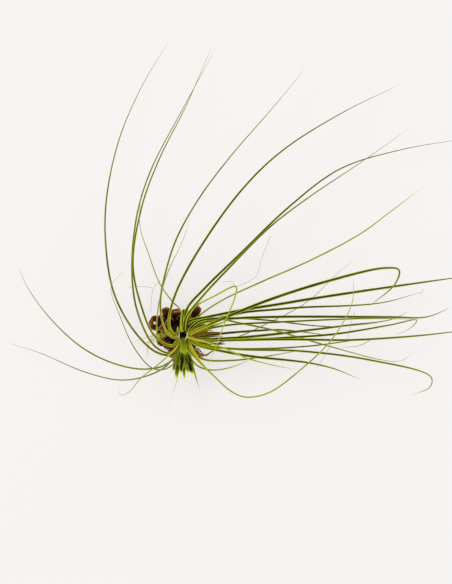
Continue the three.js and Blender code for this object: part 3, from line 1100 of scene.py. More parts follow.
LEAF_FINISHES = (
    LeafFinish(Slot.DEEP, "bcb60c", "566004", "363d02", "ced83a", "c8bc70"),
    LeafFinish(Slot.GREEN, "c6c40c", "6c7904", "485102", "d4e23e", "c8bc70"),
    LeafFinish(Slot.OLIVE, "ccc62c", "8b902c", "62681a", "ccce5c", "beb27c"),
    LeafFinish(Slot.FRESH, "dcdc18", "a8b114", "828808", "dce254", "d8c884"),
    LeafFinish(Slot.BRIGHT, "e0e010", "b8c212", "959e04", "ecf250", "e4cc68"),
    LeafFinish(Slot.STRAW, "b4840a", "c8960e", "8c5a06", "e4bc48", "a8784a", veins=0.7),
    LeafFinish(Slot.RUST, "8a5006", "985808", "4c2404", "cc8820", "5a3019", veins=0.7),
    LeafFinish(Slot.GREY, "b5b48c", "a09a84", "8d8a78", "c4c1ad", "b4b0a4", bloom=0.2),
    LeafFinish(Slot.PALE, "b4c060", "dcdcc0", "c4c89c", "f0efdc", "ece6d4", veins=0.15),
    LeafFinish(Slot.CROWN, "7c7c08", "5e6404", "2c3002", "d4d42c", "dcd25c", veins=0.7),
    LeafFinish(Slot.BRACTS, "a4b806", "748c02", "3e5002", "e2ee34", "f0f660", veins=0.4),
)


@dataclass(frozen=True)
class ResinFinish:
    """The clouded, glossy white of dried resin."""

    clear_code: str = "fbfaf2"
    cloud_code: str = "e3d9bf"
    cloud_scale: float = 900.0
    roughness: float = 0.4
    depth: float = 0.4
    depths: Point = (0.001, 0.0008, 0.0006)
    gloss: float = 0.5

    def material(self) -> bpy.types.Material:
        """Makes the resin.

        Returns:
            The material.
        """
        material, sketch, shader = new_material(Slot.RESIN.value)
        clouds = sketch.noise(sketch.place(), self.cloud_scale, 3.0)
        colour = sketch.mix(clouds, linear(self.clear_code), linear(self.cloud_code))
        sketch.feed(shader["Base Color"], colour)
        sketch.feed(shader["Roughness"], sketch.times(clouds, self.roughness))
        shader["Subsurface Weight"].default_value = self.depth
        shader["Subsurface Radius"].default_value = self.depths
        shader["Coat Weight"].default_value = self.gloss
        return material


class Finishes:
    """Every material of the plant and its cone."""

    def __init__(self) -> None:
        """Makes them all, each for its slot."""
        skin = BladeSkin().group()
        self.materials = {finish.slot: finish.material(skin) for finish in LEAF_FINISHES}
        self.materials[Slot.WOOD] = WoodGrain().material()
        self.materials[Slot.RESIN] = ResinFinish().material()

    def dress(self, made: Made) -> None:
        """Dresses a finished piece, hangs it on the body and hides the solids that it stands for.

        Args:
            made: The piece.
        """
        made.piece.data.materials.clear()
        made.piece.data.materials.append(self.materials[made.slot])
        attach(made.piece, BODY)
        if made.nodes:
            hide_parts(*made.nodes)


# Plant


# radius, and height above the cone's top, both in millimetres
CROWN_OUTSIDE: tuple[Flat, ...] = ((5, 0.3), (6.6, 3.3), (7, 6), (7, 14), (6.7, 18), (5.8, 21))


def crown_radius(height: float) -> float:
    """Works out the crown's mean radius.

    Args:
        height: Height above the cone's top, in millimetres.

    Returns:
        The radius in millimetres.
    """
    levels = [(CROWN_OUTSIDE[0][0], -100.0), *CROWN_OUTSIDE]
    for (low_radius, low), (high_radius, high) in zip(levels, levels[1:]):
        if height < high:
            return low_radius + (high_radius - low_radius) * (height - low) / (high - low)
    return levels[-1][0]


@dataclass
class Leaf:
    """One leaf: its size in millimetres, its tier on the crown and its route seen from above."""

    name: str
    slot: Slot
    wide: float
    # how long the blade holds its width: 1 is an even taper, more keeps it wide for longer
    hold: float
    tier: float
    route: list[Flat]
    climb: float | None = None
    droop: float | None = None
    lift: float = 8.0
    flare: float | None = None
    sheath_length: float = 16.0
    # strength and length of the bright root, and strength of the dark one, partly the brown of old
    # sheaths and partly painted shade deep in the tuft
    flush: float = 0.4
    flush_length: float = 14.0
    shade_and_brown: float | None = None
    dark_root_length: float = 16.0
    # how much darker than its finish the blade is
    dusk: float = 0.0
    dried: float = 9.0
    rusty: float = 0.0
    lean: float = 0.0
    # whether the half with the painted highlight is the left one, seen from its root
    lit_left: bool = False

    # a leaf that names no climb, droop, flare or dark root takes them from these: first what it
    # has on the lowest tier or when it lies flat, then the change with each tier or with the climb
    usual_climb: Flat = (0.05, 0.03)
    usual_droop: Flat = (0.0004, 0.0022)
    # darkest root on the lowest tier: old brown sheaths and painted shade under the tiers above
    usual_dark_root: Flat = (0.75, -0.08)
    usual_flare: float = 0.4
    tier_foot: float = 6.0
    tier_step: float = 1.5
    root_gap: float = 0.5
    # how far the root runs on into the crown, and down
    root_depth: Flat = (2.5, 1.2)
    lift_length: float = 12.0
    tip_width: float = 0.16
    marks: int = 120

    def points(self) -> list[Vector]:
        """Works out the middle line.

        Returns:
            Its points from root to tip, in millimetres above the cone's top.
        """
        climb = at(self.usual_climb, self.tier) if self.climb is None else self.climb
        droop = at(self.usual_droop, climb) if self.droop is None else self.droop
        foot = self.tier_foot + self.tier_step * self.tier
        first = Vector(self.route[0])
        root = first * ((crown_radius(foot) + self.root_gap) / first.length)
        flat = [root, *(Vector(place) for place in self.route)]
        run = 0.0
        line = []
        for before, place in zip([root, *flat], flat):
            run += (place - before).length
            lift = self.lift * (1 - math.exp(-run / self.lift_length))
            line.append(seen(place.x, place.y, foot + lift + climb * run - droop * run**2))
        back, down = self.root_depth
        inward = line[0] - Vector((root.x, root.y, 0)).normalized() * back - Vector((0, 0, down))
        return [inward, *line]

    def width_at(self, share: float, length: float) -> float:
        """Works out the blade's width.

        Args:
            share: Share of the length, from the root.
            length: The leaf's length in millimetres.

        Returns:
            The width in millimetres.
        """
        flare = self.usual_flare * self.wide if self.flare is None else self.flare
        body = self.tip_width + (self.wide - self.tip_width) * (1 - share**self.hold)
        return body + flare * fade(share * length, self.sheath_length)

    def build(self, blank: Piece) -> Made:
        """Bends a blade along the leaf's route and keeps what its colours need.

        Args:
            blank: The straight blade.

        Returns:
            The blade.
        """
        points = self.points()
        length = length_of(smooth_route(points, self.marks))
        blade = lay_strip(
            blank, self.name + "_blade", points, self.marks,
            lambda share: self.width_at(share, length), self.dried,
            lambda share: self.lean * math.sin(math.pi * share))
        if self.lit_left:
            keep(blade, "across", [-place for place in kept_on(blade, "across")])
        # the dark root, partly old brown sheath and partly painted shade
        usual = max(0.0, at(self.usual_dark_root, self.tier))
        brown = usual if self.shade_and_brown is None else self.shade_and_brown
        rules: dict[str, Rule] = {
            "rusty": lambda share: self.rusty,
            "dusk": lambda share: self.dusk * (1 - share**4),
            "flush": lambda share: self.flush * fade(share * length, self.flush_length),
            "shade_and_brown": lambda share: brown * fade(share * length, self.dark_root_length)}
        for name, rule in rules.items():
            note_along(blade, name, rule)
        return Made(blade, self.slot, (self.name,))


@dataclass
class DryLeaf(Leaf):
    """A dead leaf at the foot of the tuft, flat, twisted and soon at its end."""

    climb: float | None = 0.1
    lift: float = 3.0
    flare: float | None = 1.0
    dried: float = 6.0
    lean: float = 0.6


LEAVES = [
    # swept round to the left, then up and back
    Leaf("leaf_back_1", Slot.OLIVE, 2, 1.6, 1, climb=0.1, dusk=0.2, route=[
        (-5, -14), (-12, -19), (-22, -18), (-33, -12), (-53, 11), (-70, 46), (-77.5, 96),
        (-76, 141), (-64, 196), (-43, 246), (-15, 294)]),
    Leaf("leaf_back_2", Slot.OLIVE, 1.9, 1.6, 4, dusk=0.15, route=[
        (-6, -13), (-12, -17), (-20, -15.5), (-31, -7), (-46, 26), (-51, 66), (-46, 121),
        (-32, 166), (-3, 222), (33, 288)]),
    Leaf("leaf_back_3", Slot.GREEN, 1.9, 1.7, 7, flush=1, flush_length=14, dusk=0.2, route=[
        (-12, -10), (-29, 1), (-42, 31), (-50, 71), (-42, 126), (-25, 174), (4, 232), (29, 290)]),
    Leaf("leaf_back_4", Slot.OLIVE, 1.85, 1.6, 9, flush=1, flush_length=36, route=[
        (-10, -1.5), (-16, 4), (-21, 16), (-22.5, 36), (-18, 61), (-7, 96), (15, 136), (47, 179),
        (87, 225), (122, 267)]),
    Leaf("leaf_back_5", Slot.FRESH, 1.4, 1.4, 5.2, [
        (-10, -9), (-19, -7.5), (-24.5, -2.5), (-26.3, 4), (-26.2, 12), (-25.2, 24), (-23.5, 36),
        (-15, 64), (0, 96), (7, 118)]),
    Leaf("leaf_back_6", Slot.FRESH, 1.15, 2.2, 5, shade_and_brown=0.7, dark_root_length=22, route=[
        (-2, 25), (-11, 35), (-23, 52), (-34, 81), (-43, 110), (-42, 145)]),
    Leaf("leaf_back_7", Slot.DEEP, 2.2, 1.9, 7.5, flare=1.6, flush=0.9, flush_length=34, route=[
        (-9, 1), (-13.5, 8), (-14, 16), (-12.5, 26), (-5, 48), (17, 88), (57, 144), (97, 183.5),
        (157, 222), (217, 251.5)]),
    Leaf("leaf_back_8", Slot.DEEP, 2.4, 1.3, 2, flush=0, dusk=0.4, route=[
        (4, 27), (22, 48), (57, 82), (107, 130), (157, 167), (217, 186), (287, 198)]),
    Leaf("leaf_back_9", Slot.GREEN, 2.1, 1.35, 7, flare=1.3, sheath_length=26, flush=0, route=[
        (3, 18), (19, 39), (47, 69), (87, 109), (127, 139.5), (177, 173), (224, 206)]),
    Leaf("leaf_back_10", Slot.FRESH, 1.4, 6, 1.2, shade_and_brown=0.5, dark_root_length=20, route=[
        (15, 19), (37, 34.5), (77, 53.5), (127, 75.5), (177, 102), (207, 124), (236, 146)]),
    Leaf("leaf_folded", Slot.BRIGHT, 1.5, 2.8, 5, climb=0.33, shade_and_brown=0.75, dark_root_length=30,
         flush=0, route=[
             (10, 27), (32, 40.2), (53, 49.5), (52, 39), (45, 21), (39, 6), (31, -16), (25, -30)]),
    Leaf("leaf_heart", Slot.BRIGHT, 1.3, 3, 8.6, climb=0.5, flare=0.8, sheath_length=8, dried=2,
         flush=1, route=[(-2, 8), (-2, 18), (0, 28)]),
    # the bundle that runs out to the right
    Leaf("leaf_right_1", Slot.DEEP, 2.75, 4.5, 9, flare=0.3, flush=1, flush_length=30, dusk=0.25,
         route=[
             (14, 6), (47, 20.5), (87, 36.5), (147, 55.5), (202, 68), (216, 66), (212, 52),
             (185, 29)]),
    Leaf("leaf_right_2", Slot.DEEP, 2.55, 4.8, 3.4, flush=0, dusk=0.55, route=[
        (2.5, 11.5), (10, 16.2), (22, 18.5), (32, 20.6), (47, 23.6), (67, 27.3), (97, 32),
        (127, 37), (207, 49), (292, 61)]),
    Leaf("leaf_right_3", Slot.GREEN, 2.1, 3, 0, flush=0, shade_and_brown=0.5, dusk=0.85, route=[
        (5, 12), (12, 15), (22, 16.4), (32, 17.4), (47, 20.4), (57, 22.8), (67, 24.4), (92, 26.5),
        (117, 28.5), (197, 33), (239, 44)]),
    Leaf("leaf_right_4", Slot.DEEP, 2.3, 6, 6, dried=18, rusty=0.8, flush=0, dusk=0.6, route=[
        (17, 15), (52, 17.7), (97, 19.2), (207, 19), (243, 19), (267, 28)]),
    Leaf("leaf_right_5", Slot.GREEN, 1.8, 3, 7, flush=0.1, flush_length=24, dusk=0.85, route=[
        (17, 5), (42, 10.5), (97, 14), (187, 17.5), (235, 16.5)]),
    Leaf("leaf_right_6", Slot.GREEN, 1.6, 2.5, 3, flush=0.1, dusk=0.8, route=[
        (17, 12), (52, 17.5), (82, 16), (145, 9.5), (194, 12.5)]),
    Leaf("leaf_right_7", Slot.DEEP, 2.3, 2, 2, flush=0, shade_and_brown=0.9, dark_root_length=26, dusk=1.0,
         route=[(17, 0), (47, 3.3), (77, 5.5), (97, 6.2), (152, 0)]),
    Leaf("leaf_right_8", Slot.GREEN, 2.45, 3, 4, dried=20, rusty=1, flush=0.1, dusk=0.6, route=[
        (17, -3), (40, -2.5), (67, -0.7), (127, 6), (167, 11), (208, 16.5), (226, 25)]),
    Leaf("leaf_right_9", Slot.GREEN, 2.1, 4, 6.2, dried=16, dusk=0.85, flush=0.9, flush_length=22,
         route=[
             (17, -4.6), (47, -4), (77, -3), (107, -1.4), (152, 2), (207, 11), (234, 16), (226, 7),
             (212, 1)]),
    Leaf("leaf_right_10", Slot.GREEN, 2.0, 6, 8.4, dusk=0.7, flush=0.9, flush_length=20, route=[
        (17, -4.8), (47, -4.3), (67, -3.9), (92, -3.4), (127, -3.6), (167, -4), (237, 0.5),
        (292, 7)]),
    Leaf("leaf_right_11", Slot.GREEN, 1.7, 2.4, 3, dried=18, rusty=0.6, flush=0, shade_and_brown=0.6,
         dusk=0.2, route=[
             (17, -8), (42, -12), (82, -12.6), (127, -10), (187, -3.5), (175, -10), (157, -11)]),
    Leaf("leaf_right_12", Slot.FRESH, 1.7, 2.2, 4.6, flush=0, shade_and_brown=0.6, dusk=0.25, route=[
        (17, 12), (32, 16.4), (42, 16.2), (52, 14), (67, 10.9), (92, 5.5), (142, -9), (197, -23.5),
        (217, -25), (232, -16)]),
    Leaf("leaf_right_13", Slot.GREEN, 1.85, 7, 5.2, dusk=0.25, flush=1, flush_length=34, route=[
        (19, -9), (57, -13.3), (117, -15), (187, -24), (248, -41), (247, -51), (229, -59)]),
    Leaf("leaf_right_14", Slot.GREEN, 2.4, 3.5, 7.2, dusk=0.65, flush=1, flush_length=34, route=[
        (17, -10), (37, -14.7), (67, -20.1), (107, -24.4), (127, -27), (152, -33), (177, -43.5)]),
    Leaf("leaf_right_15", Slot.BRIGHT, 1.3, 4, 9.6, flush=0.7, flush_length=30, route=[
        (15, -4), (37, -10.6), (57, -19.2), (63, -22), (87, -28.5), (115, -34)]),
    Leaf("leaf_right_16", Slot.OLIVE, 1.9, 2, 2.4, flush=0.3, shade_and_brown=0.3, route=[
        (7, -13), (20, -23), (47, -24.5), (82, -20.5), (122, -13.5)]),
    Leaf("leaf_right_17", Slot.FRESH, 1.5, 3, 1.2, [
        (6, -19), (15, -30), (29, -34), (49, -31), (69, -23)]),
    Leaf("leaf_right_18", Slot.FRESH, 1.25, 6, 4.2, climb=0.37, droop=0.0008, flare=6.6,
         sheath_length=24, flush=1, lit_left=True, flush_length=40, route=[
             (5, -10), (17, -26), (32, -41), (47, -54.5), (62, -61), (85, -57), (116, -35),
             (149, -3), (169, 33), (170.5, 60)]),
    Leaf("leaf_right_19", Slot.OLIVE, 1, 1.5, -0.6, climb=0, route=[
        (22, -9), (57, 0), (79, 10), (124, 34), (157, 65), (170, 75)]),
    # low and to the left
    Leaf("leaf_left_1", Slot.OLIVE, 1.5, 2.6, 6, [
        (-4, -15), (-9, -22), (-15, -27), (-23, -31), (-43, -33), (-73, -26), (-103, -10),
        (-133, 18), (-155, 48), (-165, 70)]),
    Leaf("leaf_left_2", Slot.OLIVE, 1.3, 2, 3, dried=16, route=[
        (-8, -19), (-18, -31), (-38, -40.5), (-63, -44), (-98, -36), (-143, -17), (-174, -7)]),
    Leaf("leaf_left_3", Slot.OLIVE, 1.3, 1.5, 7.3, dried=16, route=[
        (-3, -17), (-7, -24), (-12, -30), (-20, -33.5), (-31, -32), (-48, -13), (-63, 20),
        (-72, 50), (-60, 64)]),
    Leaf("leaf_left_4", Slot.FRESH, 1.35, 1.5, 8.6, flush=1, flush_length=30, route=[
        (-6, -11), (-23, -27), (-43, -43), (-54, -56), (-62, -59), (-65.5, -49)]),
    Leaf("leaf_front_1", Slot.FRESH, 2.2, 2, -0.4, climb=0, flare=0.8, route=[
        (9, -26), (13, -42), (17, -54)]),
    Leaf("leaf_front_2", Slot.PALE, 1.4, 1, 5, flare=1, route=[
        (-3, -20), (-6, -44), (-12, -62), (-16, -75)]),
]

DRY_LEAVES = [
    DryLeaf("dry_leaf_1", Slot.RUST, 4.2, 4, -0.8, [(14, 3), (27, 8)]),
    DryLeaf("dry_leaf_2", Slot.RUST, 3.4, 4, -2, [(14, -4), (28, -7), (43, -8)]),
    DryLeaf("dry_leaf_3", Slot.STRAW, 2.6, 4, -1, [(10, -12), (21, -19), (31, -14)]),
    DryLeaf("dry_leaf_4", Slot.STRAW, 4, 4, -1.2, [(-5, -12), (-9, -22), (-9, -29)]),
]


@dataclass
class Foliage:
    """All the long leaves and the dry ones below them."""

    blade: BladeBlank = field(default_factory=BladeBlank)
    dry_blade: BladeBlank = field(default_factory=lambda: BladeBlank(
        steps=60, thickness=0.12, channel=(0.42, 0.16, 0.03, 0.06, -0.05)))

    def build(self) -> list[Made]:
        """Builds every leaf.

        Returns:
            The leaves.
        """
        made = []
        for blade, leaves in ((self.blade, LEAVES), (self.dry_blade, DRY_LEAVES)):
            blank = blade.model()
            made += [leaf.build(blank) for leaf in leaves]
            bpy.data.objects.remove(blank)
        return made


@dataclass
class YoungLeaves:
    """Two narrow pale young leaves that lean back over the heart."""

    routes: dict[str, tuple[Point, ...]] = field(default_factory=lambda: {
        "young_leaf_left": ((-3.8, -4, 18.8), (-3.8, -3.1, 22.2), (-3.5, 0, 26), (-3.4, 5, 28)),
        "young_leaf_right": ((1.6, -5.4, 18), (2.2, -4.4, 22), (3.6, -0.6, 26), (5.6, 5, 28))})
    width: float = 0.8
    # share of the width that is gone at the tip
    taper: float = 0.72
    dried: float = 1.0
    marks: int = 24

    def build(self) -> list[Made]:
        """Builds both.

        Returns:
            The two leaves.
        """
        blank = BladeBlank(steps=28, thickness=0.28).model()
        made = []
        for name, points in self.routes.items():
            blade = lay_strip(blank, name + "_blade", points, self.marks,
                              lambda share: self.width * (1 - self.taper * share**3), self.dried)
            made.append(Made(blade, Slot.PALE, (name,)))
        bpy.data.objects.remove(blank)
        return made


@dataclass
class Crown:
    """The cup of overlapping leaf sheaths on the plant's short stem, in millimetres."""

    sheath: PointedBlank = field(default_factory=lambda: PointedBlank(
        (0.7, 0.92, 1, 1, 0.96, 0.88, 0.74, 0.5, 0.12), columns=8, edge_lift=0.31, curl=2,
        thickness=0.08))
    # number of sheaths, radius, height of the tips, width and how far the tips lean out
    rings: tuple[tuple[int, float, float, float, float], ...] = (
        (9, 6.4, 13.5, 5.6, 0.8), (10, 6.0, 17.5, 5.0, 0.3), (11, 5.4, 20.8, 4.2, -0.2))
    # a sheath's line below its tip: share of the radius, millimetres beyond it, share of the height
    sheath_line: tuple[Point, ...] = ((0.78, 0, 0), (1, 0.1, 0.3), (1, 0, 0.75))
    # what one sheath may differ in: its place, the height of its tip, and its width as shares
    place_play: float = 0.15
    height_play: float = 1.6
    width_play: Flat = (0.85, 1.1)
    ring_turn: float = 0.35
    sheath_marks: int = 14
    foot: float = 0.4
    cup_radius: float = 5.4
    cup_top: float = 18.0
    cup_lip: float = 0.7
    # depth of each step down into the cup, and its width as a share of the one above
    cup_steps: tuple[Flat, ...] = ((5, 0.9), (4, 0.8))
    cup_foot: float = 0.8
    # distance from the middle over which the heart is painted in shade, and how dark
    dark_heart: float = 5.0
    darkness: float = 1.2
    colour_length: float = 18.0
    dried: float = 0.8

    def ring(self, blank: Piece, index: int, draw: Draw) -> list[Piece]:
        """Stands one ring of sheaths round the cup.

        Args:
            blank: The straight sheath.
            index: Which ring.
            draw: Gives each sheath its small difference.

        Returns:
            The sheaths.
        """
        count, radius, top, width, lean = self.rings[index]
        low = Vector((0, 0, self.foot))
        pieces = []
        for place in range(count):
            play = draw.between(-self.place_play, self.place_play)
            turn = 2 * math.pi * (place + self.ring_turn * index + play) / count
            out = Vector((math.cos(turn), math.sin(turn), 0))
            high = Vector((0, 0, top - draw.between(0, self.height_play)))
            points = [out * (radius * share + beyond) + low.lerp(high, rise)
                      for share, beyond, rise in (*self.sheath_line, (1, lean, 1))]
            wide = width * draw.between(*self.width_play)
            pieces.append(lay_strip(blank, f"sheath_{index}_{place}", points, self.sheath_marks,
                                    lambda share: wide, self.dried))
        return pieces

    def cup(self) -> Piece:
        """Hollows the heart of the crown out of a cylinder.

        Returns:
            The cup.
        """
        depth = (self.cup_top - self.foot) * MM
        bottom = (CONE_TOP + self.foot) * MM
        cup = new_primitive(
            bpy.ops.mesh.primitive_cylinder_add, "crown_cup", vertices=40,
            radius=self.cup_radius * MM, depth=depth, location=(0, 0, bottom + depth / 2))
        with editing(cup):
            pick_faces(cup, lambda middle, normal: normal.z > 0.5)
            bpy.ops.mesh.inset(thickness=self.cup_lip * MM)
            for step, size in self.cup_steps:
                draw_out((0, 0, -step * MM), (size, size, 1))
            bpy.ops.mesh.select_mode(type="VERT")
            pick(cup, lambda place: place.z < bottom + 0.1 * MM)
            bpy.ops.transform.resize(value=(self.cup_foot, self.cup_foot, 1))
        note(cup, "along", lambda place: 0.0)
        note(cup, "across", lambda place: math.sin(6 * math.atan2(place.y, place.x)))
        soften(cup, 40)
        return cup

    def build(self) -> list[Made]:
        """Builds the cup and its sheaths.

        Returns:
            The crown, as one piece.
        """
        blank = self.sheath.model()
        draw = Draw(5)
        sheaths = [piece for index in range(len(self.rings))
                   for piece in self.ring(blank, index, draw)]
        bpy.data.objects.remove(blank)
        crown = join([self.cup(), *sheaths], "crown_sheaths")
        note_runs(crown, self.colour_length, self.dried)
        # painted shade deep in the cup, fading out beyond the dark heart
        heart = self.dark_heart * MM
        note(crown, "shade_and_brown", lambda place: self.darkness - max(
            0.0, math.hypot(place.x, place.y) - heart) / MM)
        return [Made(crown, Slot.CROWN, ("crown",))]


@dataclass
class Spike:
    """One flat spike of bracts, in millimetres, and the painted shade in its open middle."""

    root: Point
    tip: Point
    width: float
    roll: float
    hollow: float


@dataclass
class FlowerStalk:
    """The young stalk and its six flat spikes of overlapping bracts, in millimetres."""

    line: tuple[Point, ...] = (
        (0, -1.5, 9.3), (0, -2.2, 16), (0.3, -6, 24), (1, -13, 29.5), (1.5, -22, 32.5))
    # width at the foot, and how much wider it gets
    stalk_width: Flat = (3.8, 4.4)
    # where it narrows again, and the share of its width that is gone at the end
    stalk_taper: Flat = (0.8, 0.8)
    stalk_marks: int = 40
    # how dark the foot is, with painted shade where it rises from the cup, and how that changes
    # along it
    stalk_shade: Flat = (1.3, -3.6)
    bract: PointedBlank = field(default_factory=lambda: PointedBlank(
        (0.5, 0.8, 0.96, 1, 0.97, 0.86, 0.66, 0.38, 0.06), columns=6, edge_lift=-0.3, curl=1.4,
        thickness=0.07))
    spikes: tuple[Spike, ...] = (
        Spike((-1.4, -15, 29.5), (-10.8, -36, 33), 4.2, 0.35, 0.6),
        Spike((-1, -12, 30), (-7.3, -44, 38), 4.8, -0.2, 0.5),
        Spike((0.3, -13, 31), (-1.7, -38.5, 42), 4.4, 0.1, 0.75),
        Spike((1.2, -14, 32), (1.8, -44.5, 37), 3.0, -0.3, 0.0),
        Spike((2.2, -13, 31), (5.8, -38.5, 38), 4.0, 0.25, 0.3),
        Spike((3, -13, 30), (10.6, -39.5, 40), 6.2, -0.15, 1.15))
    # share of the spike where each side bract starts and ends, its hand, and how far out it ends
    side_bracts: tuple[Row, ...] = (
        (0.02, 0.66, -1, 0.52), (0.1, 0.74, 1, 0.52), (0.34, 0.9, -1, 0.16), (0.42, 0.96, 1, 0.16))
    # widths of the open bract and of a side bract, and the side bract's roots and middles from
    # the spike's line, as shares of the spike's width
    open_width: float = 0.9
    side_width: float = 0.3
    side_root: float = 0.1
    side_middle: float = 0.16
    side_roll: float = 0.5
    arch: float = 1.2
    side_arch: float = 1.56
    bract_marks: int = 10
    # lengths that the colours count with, for the stalk and for a bract, and their dried tips
    colour_lengths: Flat = (26.0, 14.0)
    dried: Flat = (0.1, 2.4)

    def stalk_width_at(self, share: float) -> float:
        """Works out how wide the stalk is.

        Args:
            share: Share of its length, from the foot.

        Returns:
            The width in millimetres.
        """
        start, gone = self.stalk_taper
        closing = max(0.0, share - start) / (1 - start)
        return at(self.stalk_width, share**1.5) * (1 - gone * closing)

    def stalk(self) -> Piece:
        """Bends a rod into the stalk.

        Returns:
            The stalk.
        """
        rod = RodBlank(sides=24, flatness=0.7).model()
        stalk = lay_strip(rod, "stalk", self.line, self.stalk_marks, self.stalk_width_at,
                          self.dried[0], length=self.colour_lengths[0])
        # painted shade at the foot, where the stalk rises out of the cup
        note_along(stalk, "shade_and_brown", lambda share: at(self.stalk_shade, share))
        bpy.data.objects.remove(rod)
        return stalk

    def lay(self, bract: Piece, points: Sequence[Vector], width: float, roll: float,
            hollow: float = 0.0) -> Piece:
        """Bends one bract along a few points.

        Args:
            bract: The straight bract.
            points: The points in millimetres.
            width: Its width in millimetres.
            roll: Its turn about its own line.
            hollow: How dark the painted shade in its middle is.

        Returns:
            The bract.
        """
        piece = lay_strip(bract, "bract", points, self.bract_marks, lambda share: width,
                          self.dried[1], lambda share: roll, self.colour_lengths[1])
        # painted shade inside the open bract, strongest near its middle
        note_along(piece, "shade_and_brown", lambda share: hollow * (1 - abs(2 * share - 1.05) ** 3))
        return piece

    def build_spike(self, bract: Piece, spike: Spike) -> list[Piece]:
        """Lays a long open bract along a spike and narrow ones along its sides.

        Args:
            bract: The straight bract.
            spike: The spike.

        Returns:
            The bracts.
        """
        start, end = Vector(spike.root), Vector(spike.tip)
        along = end - start
        across = Vector((-along.y, along.x, 0)).normalized() * spike.width
        up = Vector((0, 0, 1))
        pieces = [self.lay(bract, [start, start.lerp(end, 0.5) + up * self.arch, end],
                           spike.width * self.open_width, spike.roll, spike.hollow)]
        for low, high, hand, reach in self.side_bracts:
            out = across * hand
            foot = start + along * low + out * self.side_root
            top = start + along * high + out * reach
            middle = foot.lerp(top, 0.5) + out * self.side_middle + up * self.side_arch
            pieces.append(self.lay(bract, [foot, middle, top], spike.width * self.side_width,
                                   spike.roll + hand * self.side_roll))
        return pieces

    def build(self) -> list[Made]:
        """Builds the stalk with its spikes.

        Returns:
            The stalk and the spikes, as one piece.
        """
        pieces = [self.stalk()]
        bract = self.bract.model()
        for spike in self.spikes:
            pieces += self.build_spike(bract, spike)
        bpy.data.objects.remove(bract)
        return [Made(join(pieces, "flower_spikes"), Slot.BRACTS, ("flower_stalk",))]


@dataclass
class SideShoot:
    """A tuft of short curling leaves low on the left, in millimetres."""

    foot: Point = (-9.1, -2.4, 5.5)
    routes: tuple[tuple[Point, ...], ...] = (
        ((-13, 1.5, 7), (-19, 3, 9), (-24, 7, 11), (-22, 11, 12)),
        ((-13, 1.5, 7), (-20, 0.5, 9), (-25, -1, 12), (-27, 4, 12), (-23.5, 7, 10)),
        ((-13, 1, 7), (-21, -1, 8.5), (-28, -6, 11), (-31.5, -3, 12), (-29, 4, 11)),
        ((-13, 1.5, 7), (-22, 2, 8.5), (-34, 1, 8)),
        ((-13, 1, 7), (-22, 1, 8), (-33, -0.5, 10), (-52, -7, 6)),
        ((-13, 1, 7), (-21, -0.5, 7.5), (-30, -2, 8), (-35, -6, 6), (-37, -17, 0)),
        ((-13, 1, 7), (-20, -1.5, 7.5), (-28, -4, 6), (-43, -9, 0)),
        ((-13, 1.5, 8), (-18, 4, 11), (-19.5, 9, 10)),
        ((-13, 1, 8), (-24, 2, 10), (-31, -0.5, 8), (-38, -1, 6)),
        ((-13, 1.5, 8), (-21, -0.5, 9), (-26, 2, 11), (-25, 9, 10)),
        ((-13, 1, 8), (-24, -1, 9), (-33, -6, 7), (-37, -24, -1)))
    width: float = 0.62
    # share of the width that is gone at the tip, and how much wider the root is
    taper: float = 0.6
    root_width: float = 0.4
    dried: float = 5.0
    marks: int = 40

    def width_at(self, share: float) -> float:
        """Returns a strand's width in millimetres, at a share of its length."""
        return self.width * (1 - self.taper * share) + self.root_width * math.exp(-6 * share)

    def build(self) -> list[Made]:
        """Builds the tuft.

        Returns:
            The tuft, as one piece.
        """
        blank = BladeBlank(steps=48).model()
        blades = [lay_strip(blank, f"shoot_leaf_{index}", (self.foot, *route), self.marks,
                            self.width_at, self.dried) for index, route in enumerate(self.routes)]
        bpy.data.objects.remove(blank)
        return [Made(join(blades, "side_shoot_leaves"), Slot.BRIGHT, ("side_shoot",))]


